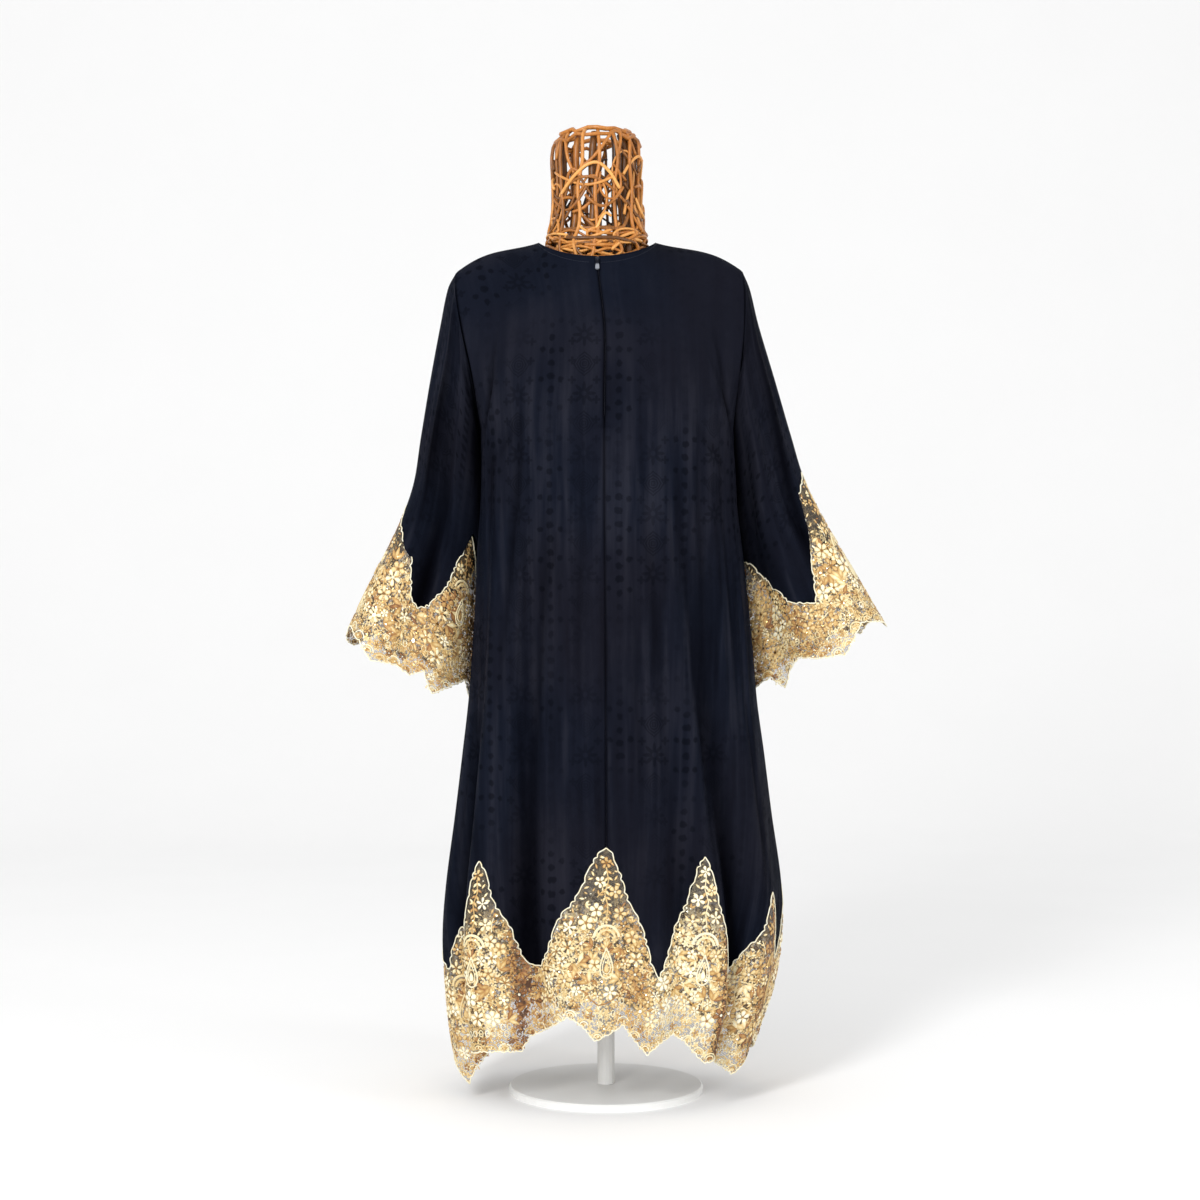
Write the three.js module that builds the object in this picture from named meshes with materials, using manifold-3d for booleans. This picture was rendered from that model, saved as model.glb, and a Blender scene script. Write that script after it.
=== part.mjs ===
// A long dark tunic with bell sleeves and zigzag lace borders, worn by a limbless dress form on a stand.
// Millimetres, +Z up, the front faces -Y, and the origin is the centre of the stand's underside.
import * as THREE from "three";
import { mergeVertices } from "three/addons/utils/BufferGeometryUtils.js";
import Module from "manifold-3d";

const wasm = await Module();
wasm.setup();

// ---- Driving sizes -------------------------------------------------------------------------

const CLOTH = 1.5; // thickness of the cloth's wall
const LACE = 1.2; // thickness of the lace's wall
const SEAM = 0.3; // gap between pieces that are sewn together
const BAR = 1.6; // height of the gap along the steep zigzag between cloth and lace
const SQUARE = 2.3; // exponent of the body's rounded sections: 2 is an ellipse

const UNDERARM = 957; // height of the underarm point
const SHOULDER_Y = 6; // the shoulder seam lies just behind the middle
const NECK = {
  x: -13, // centre of the neckline
  halfWidth: 85,
  side: 1228, // height at the sides of the neck
  front: { y: -90, z: 1195 }, // lowest point, at the zip
  back: { y: 70, z: 1226 },
  columns: 30, // degrees of the body's turn that the neckline takes on each side
  dip: 1.4, // exponent of the neckline's drop towards its middle
};
const SHOULDER_TIP = { minusX: { x: -217, z: 1184 }, plusX: { x: 197, z: 1186 } };
const SHOULDER_RISE = 10; // how far the shoulder seam bows above a straight line
const SHOULDER_BOW = 1.5; // exponent that moves the top of that bow towards the tip
const CENTRE_BEND = 3; // exponent that keeps the centre-front seam's bend near the seam

// How the body curves from its upper edge down to the underarm.
const SHOULDER_FORM = {
  neckShare: 0.3, // how round the curve is at the middle of the neck, where 1 is fully round
  neckForward: 0.75, // exponent of the way forward at the middle of the neck
  armholeOpen: 0.75, // exponent that keeps the armhole's oval full towards its ends
  edgeReach: 4, // exponent of how far in from the side the armhole shapes the panel
  ridgeShare: 0.6, // share of the cloth's thickness that the sleeve keeps off at the shoulder
};

// Sections of the body below the underarm: reach to each side, and depth to front and back.
const SECTIONS = [
  { z: 957, minusX: 181, plusX: 185, front: 126, back: 106 },
  { z: 880, minusX: 181, plusX: 188, front: 128, back: 108 },
  { z: 841, minusX: 182, plusX: 190, front: 128, back: 110 },
  { z: 783, minusX: 186, plusX: 197, front: 129, back: 113 },
  { z: 710, minusX: 189, plusX: 205, front: 130, back: 117 },
  { z: 638, minusX: 193, plusX: 212, front: 132, back: 122 },
  { z: 565, minusX: 198, plusX: 218, front: 135, back: 126 },
  { z: 490, minusX: 206, plusX: 228, front: 138, back: 130 },
  { z: 400, minusX: 216, plusX: 238, front: 143, back: 136 },
  { z: 300, minusX: 228, plusX: 250, front: 149, back: 143 },
  { z: 225, minusX: 232, plusX: 250, front: 153, back: 147 },
  { z: 150, minusX: 227, plusX: 237, front: 154, back: 148 },
  { z: 100, minusX: 222, plusX: 220, front: 153, back: 147 },
  { z: 50, minusX: 213, plusX: 202, front: 151, back: 145 },
  { z: 0, minusX: 202, plusX: 178, front: 148, back: 142 },
];

// Where the centre-front seam runs: it bends a little to one side near the neck.
const CENTRE_FRONT = [
  { z: 1195, x: -13 },
  { z: 1160, x: -10 },
  { z: 1120, x: -5 },
  { z: 1080, x: -2 },
  { z: 957, x: -3 },
  { z: 600, x: -1 },
  { z: 350, x: 0 },
  { z: 0, x: 0 },
];

// Hanging folds of the body: angle at the hem and at the top, width in degrees, depth at the hem
// (outwards is positive), height where the fold starts, and how far it leans along the cloth.
const FOLDS = [
  { at: -80, from: -82, width: 8, depth: 6, top: 700, lean: 0 },
  { at: -61, from: -66, width: 6, depth: -30, top: 780, lean: 6 },
  { at: -46, from: -52, width: 9, depth: 20, top: 900, lean: -8 },
  { at: -25, from: -33, width: 7, depth: -24, top: 820, lean: 3 },
  { at: -7, from: -14, width: 9, depth: 12, top: 900, lean: 0 },
  { at: 6, from: 3, width: 4, depth: -9, top: 600, lean: 0 },
  { at: 13, from: 13, width: 6, depth: 12, top: 880, lean: 0 },
  { at: 23, from: 14, width: 6, depth: -12, top: 860, lean: 0 },
  { at: 36, from: 20, width: 6, depth: 23, top: 930, lean: 5 },
  { at: 44, from: 34, width: 5, depth: -25, top: 900, lean: 0 },
  { at: 59, from: 57, width: 10, depth: 13, top: 880, lean: 0 },
  { at: 80, from: 76, width: 8, depth: -6, top: 600, lean: 0 },
  { at: 99, from: 100, width: 8, depth: 12, top: 700, lean: 0 },
  { at: 114, from: 112, width: 6, depth: -20, top: 800, lean: 0 },
  { at: 129, from: 130, width: 8, depth: 18, top: 860, lean: 4 },
  { at: 144, from: 146, width: 6, depth: -18, top: 820, lean: 0 },
  { at: 159, from: 158, width: 8, depth: 16, top: 900, lean: -4 },
  { at: 172, from: 171, width: 5, depth: -12, top: 700, lean: 0 },
  { at: -173, from: -172, width: 8, depth: 15, top: 880, lean: 0 },
  { at: -157, from: -158, width: 6, depth: -20, top: 840, lean: 0 },
  { at: -141, from: -142, width: 9, depth: 19, top: 900, lean: -5 },
  { at: -124, from: -127, width: 6, depth: -18, top: 800, lean: 0 },
  { at: -108, from: -108, width: 8, depth: 14, top: 760, lean: 0 },
];
const FOLDS_FULL_BELOW = 150; // height under which every fold has its whole depth
const FOLD_GROWTH = 1.3; // exponent of a fold's growth on its way down

// The zigzag line where the cloth ends and the lace begins, once round the body: its points.
const ZIGZAG = [
  { at: -180, z: 336 },
  { at: -160, z: 192 },
  { at: -141, z: 340 },
  { at: -122, z: 190 },
  { at: -103, z: 318 },
  { at: -86, z: 205 },
  { at: -73, z: 182 },
  { at: -67, z: 246 },
  { at: -58, z: 172 },
  { at: -45.5, z: 345 },
  { at: -27, z: 201 },
  { at: -21, z: 203 },
  { at: 0, z: 367 },
  { at: 13.5, z: 187 },
  { at: 29, z: 354 },
  { at: 40, z: 172 },
  { at: 66, z: 296 },
  { at: 84, z: 196 },
  { at: 103, z: 322 },
  { at: 122, z: 186 },
  { at: 142, z: 345 },
  { at: 160, z: 190 },
  { at: 180, z: 336 },
];
const ZIGZAG_STEPS = 0.035; // each slope is gentler at its ends and middle and steeper between

// The lower edge of the lace, once round the body.
const HEM = [
  { at: -180, z: 112 },
  { at: -168, z: 84 },
  { at: -157, z: 116 },
  { at: -145, z: 108 },
  { at: -138, z: 78 },
  { at: -126, z: 104 },
  { at: -114, z: 84 },
  { at: -106, z: 52 },
  { at: -96, z: 74 },
  { at: -84, z: 58 },
  { at: -76, z: 40 },
  { at: -70, z: 23 },
  { at: -66, z: 50 },
  { at: -60, z: 74 },
  { at: -50, z: 78 },
  { at: -43, z: 82 },
  { at: -31, z: 82 },
  { at: -28, z: 102 },
  { at: -18, z: 118 },
  { at: -10.5, z: 136 },
  { at: -6, z: 124 },
  { at: -2.5, z: 103 },
  { at: 1.5, z: 116 },
  { at: 4, z: 124 },
  { at: 8, z: 102 },
  { at: 12, z: 84 },
  { at: 16, z: 98 },
  { at: 22, z: 108 },
  { at: 27, z: 98 },
  { at: 33, z: 70 },
  { at: 40, z: 76 },
  { at: 46, z: 66 },
  { at: 55, z: 45 },
  { at: 62, z: 60 },
  { at: 84, z: 84 },
  { at: 96, z: 62 },
  { at: 106, z: 50 },
  { at: 116, z: 82 },
  { at: 128, z: 108 },
  { at: 138, z: 80 },
  { at: 148, z: 106 },
  { at: 158, z: 116 },
  { at: 168, z: 86 },
  { at: 180, z: 112 },
];

// The sleeves, from the armhole (0) to the cuff (1): where the outer and inner edges run, and
// half the sleeve's size from front to back.
const SLEEVES = {
  minusX: [
    { f: 0.0, outX: 217, outZ: 1184, outY: 6, inX: 183, inZ: 957, inY: 4, deep: 57 },
    { f: 0.08, outX: 229, outZ: 1162, outY: 8, inX: 181, inZ: 938, inY: 8, deep: 60 },
    { f: 0.2, outX: 240, outZ: 1110, outY: 10, inX: 179, inZ: 906, inY: 16, deep: 64 },
    { f: 0.35, outX: 255, outZ: 1030, outY: 12, inX: 177, inZ: 862, inY: 28, deep: 66 },
    { f: 0.5, outX: 269, outZ: 946, outY: 14, inX: 177, inZ: 812, inY: 42, deep: 68 },
    { f: 0.62, outX: 280, outZ: 878, outY: 15, inX: 177, inZ: 768, inY: 54, deep: 72 },
    { f: 0.74, outX: 303, outZ: 815, outY: 14, inX: 178, inZ: 720, inY: 64, deep: 77 },
    { f: 0.87, outX: 337, outZ: 747, outY: 12, inX: 179, inZ: 654, inY: 72, deep: 83 },
    { f: 1.0, outX: 371, outZ: 676, outY: 10, inX: 180, inZ: 582, inY: 78, deep: 88 },
    { f: 1.1, outX: 398, outZ: 620, outY: 9, inX: 180, inZ: 524, inY: 82, deep: 92 },
  ],
  plusX: [
    { f: 0.0, outX: 197, outZ: 1186, outY: 6, inX: 186, inZ: 957, inY: 4, deep: 57 },
    { f: 0.08, outX: 208, outZ: 1162, outY: 8, inX: 184, inZ: 938, inY: 8, deep: 60 },
    { f: 0.2, outX: 221, outZ: 1110, outY: 10, inX: 182, inZ: 906, inY: 16, deep: 64 },
    { f: 0.35, outX: 245, outZ: 1030, outY: 12, inX: 182, inZ: 862, inY: 28, deep: 66 },
    { f: 0.5, outX: 269, outZ: 948, outY: 14, inX: 184, inZ: 812, inY: 44, deep: 68 },
    { f: 0.62, outX: 289, outZ: 884, outY: 15, inX: 187, inZ: 768, inY: 56, deep: 72 },
    { f: 0.74, outX: 322, outZ: 818, outY: 14, inX: 190, inZ: 720, inY: 66, deep: 77 },
    { f: 0.87, outX: 363, outZ: 748, outY: 12, inX: 194, inZ: 656, inY: 74, deep: 83 },
    { f: 1.0, outX: 404, outZ: 678, outY: 10, inX: 198, inZ: 588, inY: 80, deep: 88 },
    { f: 1.1, outX: 436, outZ: 622, outY: 9, inX: 199, inZ: 532, inY: 84, deep: 92 },
  ],
};
const SLEEVE_CLEAR = 5; // how far the sleeve stays off the body's plain side
const SLEEVE_EASE = 4; // how softly the sleeve turns where it comes near the body
const SLEEVE_JOIN = 0.22; // share of the sleeve over which it leaves the armhole's shape
const SLEEVE_FOLDS_GROW = { start: 0.12, span: 0.7, power: 1.2 }; // along the sleeve

// Folds along a sleeve: place round it (0 outer edge, 90 front, 180 inner edge, 270 back).
const SLEEVE_FOLDS = {
  minusX: [
    { at: 42, width: 20, depth: 5 },
    { at: 82, width: 16, depth: -12 },
    { at: 118, width: 17, depth: 8 },
    { at: 150, width: 10, depth: -8 },
    { at: 205, width: 18, depth: 7 },
    { at: 240, width: 14, depth: -9 },
    { at: 285, width: 18, depth: 7 },
    { at: 325, width: 14, depth: -6 },
  ],
  plusX: [
    { at: 35, width: 16, depth: 4 },
    { at: 62, width: 13, depth: -8 },
    { at: 90, width: 15, depth: 7 },
    { at: 120, width: 12, depth: -9 },
    { at: 148, width: 12, depth: 5 },
    { at: 215, width: 16, depth: 7 },
    { at: 248, width: 14, depth: -9 },
    { at: 290, width: 18, depth: 7 },
    { at: 326, width: 13, depth: -6 },
  ],
};

// The zigzag line on each sleeve, and the lower edge of its lace: place round the sleeve, and
// share of the sleeve's length.
const CUFF_ZIGZAG = {
  minusX: [
    { at: 0, f: 0.675 },
    { at: 60, f: 0.78 },
    { at: 72, f: 0.87 },
    { at: 81, f: 0.89 },
    { at: 92, f: 0.865 },
    { at: 105, f: 0.79 },
    { at: 122, f: 0.59 },
    { at: 150, f: 0.69 },
    { at: 178, f: 0.85 },
    { at: 216, f: 0.62 },
    { at: 258, f: 0.89 },
    { at: 300, f: 0.63 },
    { at: 334, f: 0.86 },
    { at: 360, f: 0.675 },
  ],
  plusX: [
    { at: 0, f: 0.64 },
    { at: 18, f: 0.595 },
    { at: 45, f: 0.63 },
    { at: 52, f: 0.72 },
    { at: 64, f: 0.8 },
    { at: 77, f: 0.88 },
    { at: 96, f: 0.855 },
    { at: 118, f: 0.75 },
    { at: 150, f: 0.6 },
    { at: 180, f: 0.84 },
    { at: 222, f: 0.63 },
    { at: 262, f: 0.89 },
    { at: 300, f: 0.64 },
    { at: 336, f: 0.86 },
    { at: 360, f: 0.64 },
  ],
};
const CUFF_EDGE = {
  minusX: [
    { at: 0, f: 1.01 },
    { at: 22, f: 1.0 },
    { at: 45, f: 1.02 },
    { at: 58, f: 1.05 },
    { at: 75, f: 1.04 },
    { at: 90, f: 1.045 },
    { at: 100, f: 1.02 },
    { at: 108, f: 1.065 },
    { at: 122, f: 1.03 },
    { at: 136, f: 1.0 },
    { at: 150, f: 1.035 },
    { at: 180, f: 1.02 },
    { at: 204, f: 1.045 },
    { at: 226, f: 1.01 },
    { at: 248, f: 1.045 },
    { at: 272, f: 1.01 },
    { at: 294, f: 1.04 },
    { at: 314, f: 1.0 },
    { at: 334, f: 1.05 },
    { at: 347, f: 1.04 },
    { at: 360, f: 1.01 },
  ],
  plusX: [
    { at: 0, f: 1.01 },
    { at: 30, f: 0.985 },
    { at: 46, f: 0.972 },
    { at: 58, f: 1.005 },
    { at: 69, f: 1.03 },
    { at: 90, f: 1.01 },
    { at: 103, f: 0.99 },
    { at: 112, f: 1.01 },
    { at: 119, f: 1.05 },
    { at: 130, f: 1.01 },
    { at: 142, f: 1.025 },
    { at: 160, f: 1.0 },
    { at: 182, f: 1.02 },
    { at: 206, f: 1.0 },
    { at: 228, f: 1.03 },
    { at: 252, f: 0.99 },
    { at: 274, f: 1.02 },
    { at: 296, f: 0.98 },
    { at: 318, f: 1.01 },
    { at: 340, f: 0.985 },
    { at: 360, f: 1.01 },
  ],
};

// Half the armhole's width from front to back, and where the armhole's edge runs sideways.
const ARMHOLE = {
  halfDepth: 57,
  minusX: [
    { z: 1184, x: 217 },
    { z: 1145, x: 214 },
    { z: 1090, x: 205 },
    { z: 1040, x: 195 },
    { z: 1000, x: 188 },
    { z: 957, x: 181 },
  ],
  plusX: [
    { z: 1186, x: 197 },
    { z: 1145, x: 199 },
    { z: 1090, x: 198 },
    { z: 1040, x: 194 },
    { z: 1000, x: 190 },
    { z: 957, x: 185 },
  ],
};

// The dress form: it fills the shoulders and bust, and is narrower than the tunic below.
const FORM = {
  clear: 0.45, // gap under the cloth along the shoulder seam
  clearBust: 5, // gap at the bust
  neckRadius: 69,
  neckFoot: 73, // radius where the neck stands on the shoulders
  neckY: -8,
  neckSeat: 1240,
  neckTop: 1388,
  neckWaist: { radius: 70, rise: 14 }, // where the neck's foot narrows
  neckShaft: 40, // height above the seat where the neck has its plain radius
  neckRound: 22, // radius of the neck's upper edge
  armInset: 5, // how far each arm plate lies inside the armhole
  armShare: 0.95, // size of each arm plate beside the armhole's own
  roundness: 0.9, // exponent of the trunk's sections: 1 is an ellipse
  columns: 18, // columns of points on the front, and on the back
};
const FORM_SECTIONS = [
  { z: 957, minusX: 172, plusX: 176, front: 118, back: 98 },
  { z: 900, minusX: 158, plusX: 162, front: 110, back: 90 },
  { z: 830, minusX: 138, plusX: 142, front: 94, back: 84 },
  { z: 760, minusX: 150, plusX: 154, front: 98, back: 92 },
  { z: 690, minusX: 166, plusX: 170, front: 104, back: 104 },
  { z: 640, minusX: 168, plusX: 172, front: 104, back: 106 },
  { z: 602, minusX: 162, plusX: 166, front: 100, back: 102 },
];
const STAND = { poleRadius: 12.5, baseRadius: 140, baseHeight: 10, baseChamfer: 2 };
const SIDES = { neck: 24, pole: 16, base: 40, neckCorner: 5 }; // faces round each turned form

const ZIP = { halfWidth: 11, thickness: 1.0, gap: 0.8 };
const SLIDER = { at: 0.036, width: 5.4, length: 9, thickness: 1.6, nose: 0.7, tail: 0.75, bulge: 0.4 };
const ARCH = { width: 1.4, length: 6.4, height: 3.6, thickness: 0.9, corner: 1 };
const TAB = { length: 17, width: 5.6, neck: 4.4, thickness: 1.2, hole: 2.4, holeTo: 5.6, flare: [9, 10] };

const SEAM_TURN = 0.03; // degrees of the body's turn left free on each side of a seam
const RIDGE_GAP = 0.0012; // share of the shoulder's curve left free at the shoulder seam
const ZIP_START = 0.03; // share of the way down to the underarm where the zip begins
const CUFF_BAR = 0.0015; // share of the sleeve's length left free on each side of the zigzag
const BODY_STEP = 4.8; // degrees of the body between two columns of points
const SHOULDER_ROWS = 9;
const SKIRT_ROWS = 11;
const LACE_ROWS = 5;
const SLEEVE_STEP = 12; // degrees round the sleeve between two columns
const SLEEVE_ROWS = 13;
const CUFF_ROWS = 4;
const BACK_CORNER = 150; // degrees of the turn where the back's neckline ends
const NEIGHBOUR = { turn: 0.4, share: 0.004 }; // how far off the places that give a normal lie
const WELD = 1e-3; // points nearer than this are one

// ---- Small tools ---------------------------------------------------------------------------

const radians = THREE.MathUtils.degToRad;
const mix = THREE.MathUtils.lerp;
const clamp01 = (value) => THREE.MathUtils.clamp(value, 0, 1);
const power = (value, exponent) => Math.sign(value) * Math.abs(value) ** exponent;
const evenly = (count) => Array.from({ length: count + 1 }, (_, i) => i / count);

// The rows of a table on both sides of a place, and the share of the way between them.
function rowsAt(table, key, place) {
  const rising = table[table.length - 1][key] > table[0][key];
  let i = 0;
  while (i < table.length - 2 && (rising ? place > table[i + 1][key] : place < table[i + 1][key])) {
    i += 1;
  }
  const share = clamp01((place - table[i][key]) / (table[i + 1][key] - table[i][key]));
  return { i, share };
}

// A column's value at a place, along straight lines between the rows.
function straight(table, key, column, place) {
  const { i, share } = rowsAt(table, key, place);
  return mix(table[i][column], table[i + 1][column], share);
}

// A column's value at a place, along a smooth curve through the rows.
function smooth(table, key, column, place) {
  const { i, share } = rowsAt(table, key, place);
  const row = (n) => table[THREE.MathUtils.clamp(n, 0, table.length - 1)];
  const slope = (n) => {
    const width = row(n + 1)[key] - row(n - 1)[key];
    return (row(n + 1)[column] - row(n - 1)[column]) / width;
  };
  const step = row(i + 1)[key] - row(i)[key];
  const s2 = share * share;
  const s3 = s2 * share;
  return (
    row(i)[column] * (2 * s3 - 3 * s2 + 1) +
    slope(i) * step * (s3 - 2 * s2 + share) +
    row(i + 1)[column] * (3 * s2 - 2 * s3) +
    slope(i + 1) * step * (s3 - s2)
  );
}

// The turn from one angle to another, between -180 and 180 degrees.
function turn(from, to) {
  return ((((to - from) % 360) + 540) % 360) - 180;
}

// ---- The tunic's middle surface ------------------------------------------------------------

// Half a section's width at a depth y, before any fold.
function reachAt(side, y, z) {
  const depth = smooth(SECTIONS, "z", y < 0 ? "front" : "back", z);
  const inside = 1 - Math.abs(y / depth) ** SQUARE;
  return inside > 0 ? smooth(SECTIONS, "z", side, z) * inside ** (1 / SQUARE) : 0;
}

// A point of the body below the underarm: turn 0 is the front, 90 the +X side, 180 the back.
function skirtPoint(angle, z) {
  const s = Math.sin(radians(angle));
  const c = Math.cos(radians(angle));
  const reach = smooth(SECTIONS, "z", s < 0 ? "minusX" : "plusX", z);
  const depth = smooth(SECTIONS, "z", c < 0 ? "back" : "front", z);
  const out = new THREE.Vector3(s / reach, -c / depth, 0).normalize();
  const along = new THREE.Vector3(-out.y, out.x, 0);
  const point = new THREE.Vector3(
    reach * power(s, 2 / SQUARE) + smooth(CENTRE_FRONT, "z", "x", z) * Math.max(0, c) ** CENTRE_BEND,
    -depth * power(c, 2 / SQUARE),
    z,
  );
  for (const fold of FOLDS) {
    const grown = clamp01((fold.top - z) / (fold.top - FOLDS_FULL_BELOW)) ** FOLD_GROWTH;
    if (grown === 0) continue;
    const centre = mix(fold.from, fold.at, grown);
    const share = grown * Math.exp(-((turn(centre, angle) / fold.width) ** 2));
    point.addScaledVector(out, fold.depth * share).addScaledVector(along, fold.lean * share);
  }
  return point;
}

// The upper edge of the body: the neckline, then the shoulder seam out to the tip.
function topPoint(angle, back) {
  const side = angle < 0 ? "minusX" : "plusX";
  const sign = angle < 0 ? -1 : 1;
  const fromMiddle = back ? 180 - Math.abs(angle) : Math.abs(angle);
  const middle = back ? NECK.back : NECK.front;
  if (fromMiddle <= NECK.columns) {
    const quarter = radians((90 * fromMiddle) / NECK.columns);
    return new THREE.Vector3(
      NECK.x + sign * NECK.halfWidth * Math.sin(quarter),
      mix(SHOULDER_Y, middle.y, Math.cos(quarter)),
      mix(NECK.side, middle.z, Math.cos(quarter) ** NECK.dip),
    );
  }
  const share = (fromMiddle - NECK.columns) / (90 - NECK.columns);
  const tip = SHOULDER_TIP[side];
  return new THREE.Vector3(
    mix(NECK.x + sign * NECK.halfWidth, tip.x, share),
    SHOULDER_Y,
    mix(NECK.side, tip.z, share) + SHOULDER_RISE * Math.sin(Math.PI * share ** SHOULDER_BOW),
  );
}

// A point of the body between its upper edge (t 0) and the underarm's height (t 1). At the sides,
// where front and back part round the armhole, back says which of the two edges is meant.
function shoulderPoint(turned, t, back = Math.abs(turn(0, turned)) > 90) {
  const angle = turn(0, turned);
  const side = angle < 0 ? "minusX" : "plusX";
  const sign = angle < 0 ? -1 : 1;
  const fromMiddle = back ? 180 - Math.abs(angle) : Math.abs(angle);
  const rounded = mix(SHOULDER_FORM.neckShare, 1, clamp01(fromMiddle / NECK.columns) ** 2);
  const quarter = (Math.PI / 2) * t;
  const top = topPoint(angle, back);
  const low = skirtPoint(angle, UNDERARM);
  const z = mix(top.z, low.z, mix(t, 1 - Math.cos(quarter), rounded));
  const forward = mix(t ** SHOULDER_FORM.neckForward, Math.sin(quarter), rounded);
  const tip = SHOULDER_TIP[side];
  const sideZ = mix(tip.z, UNDERARM, 1 - Math.cos(quarter));
  const edgeX = sign * smooth(ARMHOLE[side], "z", "x", sideZ);
  const straightX = mix(tip.x, sign * smooth(SECTIONS, "z", side, UNDERARM), t);
  const oval = Math.max(0, Math.sin(Math.PI * t)) ** SHOULDER_FORM.armholeOpen;
  const opened = ARMHOLE.halfDepth * oval;
  const nearEdge = clamp01(fromMiddle / 90) ** SHOULDER_FORM.edgeReach;
  const ends = mix(NECK.x, smooth(CENTRE_FRONT, "z", "x", UNDERARM), t);
  const bend = back ? 0 : Math.cos(radians(angle)) ** CENTRE_BEND;
  return new THREE.Vector3(
    mix(top.x, low.x, t)
      + nearEdge * (edgeX - straightX)
      + bend * (smooth(CENTRE_FRONT, "z", "x", z) - ends),
    mix(top.y, low.y, forward)
      + nearEdge * ((back ? 1 : -1) * opened - SHOULDER_Y * (Math.sin(quarter) - t)),
    z,
  );
}

// A point on a sleeve's plain oval, before its folds and before it meets the armhole.
function sleeveOval(side, round, f, spread) {
  const value = (column) => smooth(SLEEVES[side], "f", column, f);
  const c = Math.cos(radians(round));
  const between = (outer, inner) => (outer + inner) / 2 + ((outer - inner) / 2) * c;
  const point = new THREE.Vector3(
    between(value("outX"), value("inX")) + spread * c,
    between(value("outY"), value("inY")) - (value("deep") + spread) * Math.sin(radians(round)),
    between(value("outZ"), value("inZ")),
  );
  const clear = reachAt(side, point.y, Math.min(point.z, UNDERARM)) + SLEEVE_CLEAR;
  const over = point.x - clear;
  point.x = clear + (over + Math.sqrt(over * over + SLEEVE_EASE ** 2)) / 2;
  return point;
}

// A point of one sleeve: round it by degrees, and along it from the armhole (0) to the cuff (1).
function sleevePoint(side, round, f) {
  const point = sleeveOval(side, round, f, sleeveFold(side, round, f));
  const joined = (1 - clamp01(f / SLEEVE_JOIN)) ** 2;
  if (joined > 0) {
    const seam = armholePoint(side, round).sub(sleeveOval(side, round, 0, 0));
    point.addScaledVector(seam, joined);
  }
  return side === "minusX" ? point.setX(-point.x) : point;
}

// The armhole seam as the sleeve meets it, just outside the body's own edge. X is towards the side.
function armholePoint(side, round) {
  const t = round <= 180 ? round / 180 : (360 - round) / 180;
  const edge = shoulderPoint(side === "minusX" ? -90 : 90, t, round > 180);
  const off = SEAM + CLOTH * mix(SHOULDER_FORM.ridgeShare, 1, t);
  return new THREE.Vector3(Math.abs(edge.x) + off, edge.y, edge.z);
}

function sleeveFold(side, round, f) {
  const { start, span, power: exponent } = SLEEVE_FOLDS_GROW;
  const grown = clamp01((f - start) / span) ** exponent;
  let sum = 0;
  for (const fold of SLEEVE_FOLDS[side]) {
    sum += fold.depth * grown * Math.exp(-((turn(fold.at, round) / fold.width) ** 2));
  }
  return sum;
}

// ---- Walls of cloth ------------------------------------------------------------------------

// The direction across a surface at a place, from its neighbours between two columns.
function normalOf(surface, u, v, from = -Infinity, to = Infinity) {
  const left = Math.max(u - NEIGHBOUR.turn, from);
  const right = Math.min(u + NEIGHBOUR.turn, to);
  const above = Math.max(v - NEIGHBOUR.share, 0);
  const across = surface(right, v).sub(surface(left, v));
  const down = surface(u, v + NEIGHBOUR.share).sub(surface(u, above));
  return across.cross(down).normalize().negate();
}

// A closed wall round a grid of points with normals: outer skin, inner skin and the edges.
function wallOf(grid, thickness, tube) {
  const columns = grid.length;
  const rows = grid[0].length;
  const positions = [];
  for (const half of [thickness / 2, -thickness / 2]) {
    for (const column of grid) {
      for (const { point, normal } of column) {
        positions.push(...point.clone().addScaledVector(normal, half).toArray());
      }
    }
  }
  const at = (skin, i, j) => skin * columns * rows + (i % columns) * rows + j;
  const index = [];
  const quad = (a, b, c, d) => index.push(a, b, c, a, c, d);
  const spans = tube ? columns : columns - 1;
  for (let i = 0; i < spans; i += 1) {
    for (let j = 0; j < rows - 1; j += 1) {
      quad(at(0, i, j), at(0, i, j + 1), at(0, i + 1, j + 1), at(0, i + 1, j));
      quad(at(1, i, j), at(1, i + 1, j), at(1, i + 1, j + 1), at(1, i, j + 1));
    }
    quad(at(0, i, 0), at(0, i + 1, 0), at(1, i + 1, 0), at(1, i, 0));
    const end = rows - 1;
    quad(at(0, i, end), at(1, i, end), at(1, i + 1, end), at(0, i + 1, end));
  }
  for (let j = 0; j < rows - 1 && !tube; j += 1) {
    const end = columns - 1;
    quad(at(0, 0, j), at(1, 0, j), at(1, 0, j + 1), at(0, 0, j + 1));
    quad(at(0, end, j), at(0, end, j + 1), at(1, end, j + 1), at(1, end, j));
  }
  return closedGeometry(positions, index);
}

// A geometry from points and faces, turned to face outwards.
function closedGeometry(positions, index) {
  let volume = 0;
  const corner = (n) => new THREE.Vector3().fromArray(positions, 3 * n);
  for (let i = 0; i < index.length; i += 3) {
    const [a, b, c] = [corner(index[i]), corner(index[i + 1]), corner(index[i + 2])];
    volume += a.dot(b.cross(c));
  }
  if (volume < 0) {
    for (let i = 0; i < index.length; i += 3) {
      [index[i + 1], index[i + 2]] = [index[i + 2], index[i + 1]];
    }
  }
  const geometry = new THREE.BufferGeometry();
  geometry.setAttribute("position", new THREE.Float32BufferAttribute(positions, 3));
  geometry.setIndex(index);
  return geometry;
}

// The body as one surface: v 0 to 1 is the shoulder's part, v 1 to 2 goes down to the zigzag.
function bodySurface(angle, v) {
  if (v <= 1) return shoulderPoint(angle, v);
  return skirtPoint(angle, mix(UNDERARM, zigzagAt(angle) + BAR / 2, v - 1));
}

function laceSurface(angle, v) {
  const low = straight(HEM, "at", "z", turn(0, angle));
  return skirtPoint(angle, mix(zigzagAt(angle) - BAR / 2, low, v));
}

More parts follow.
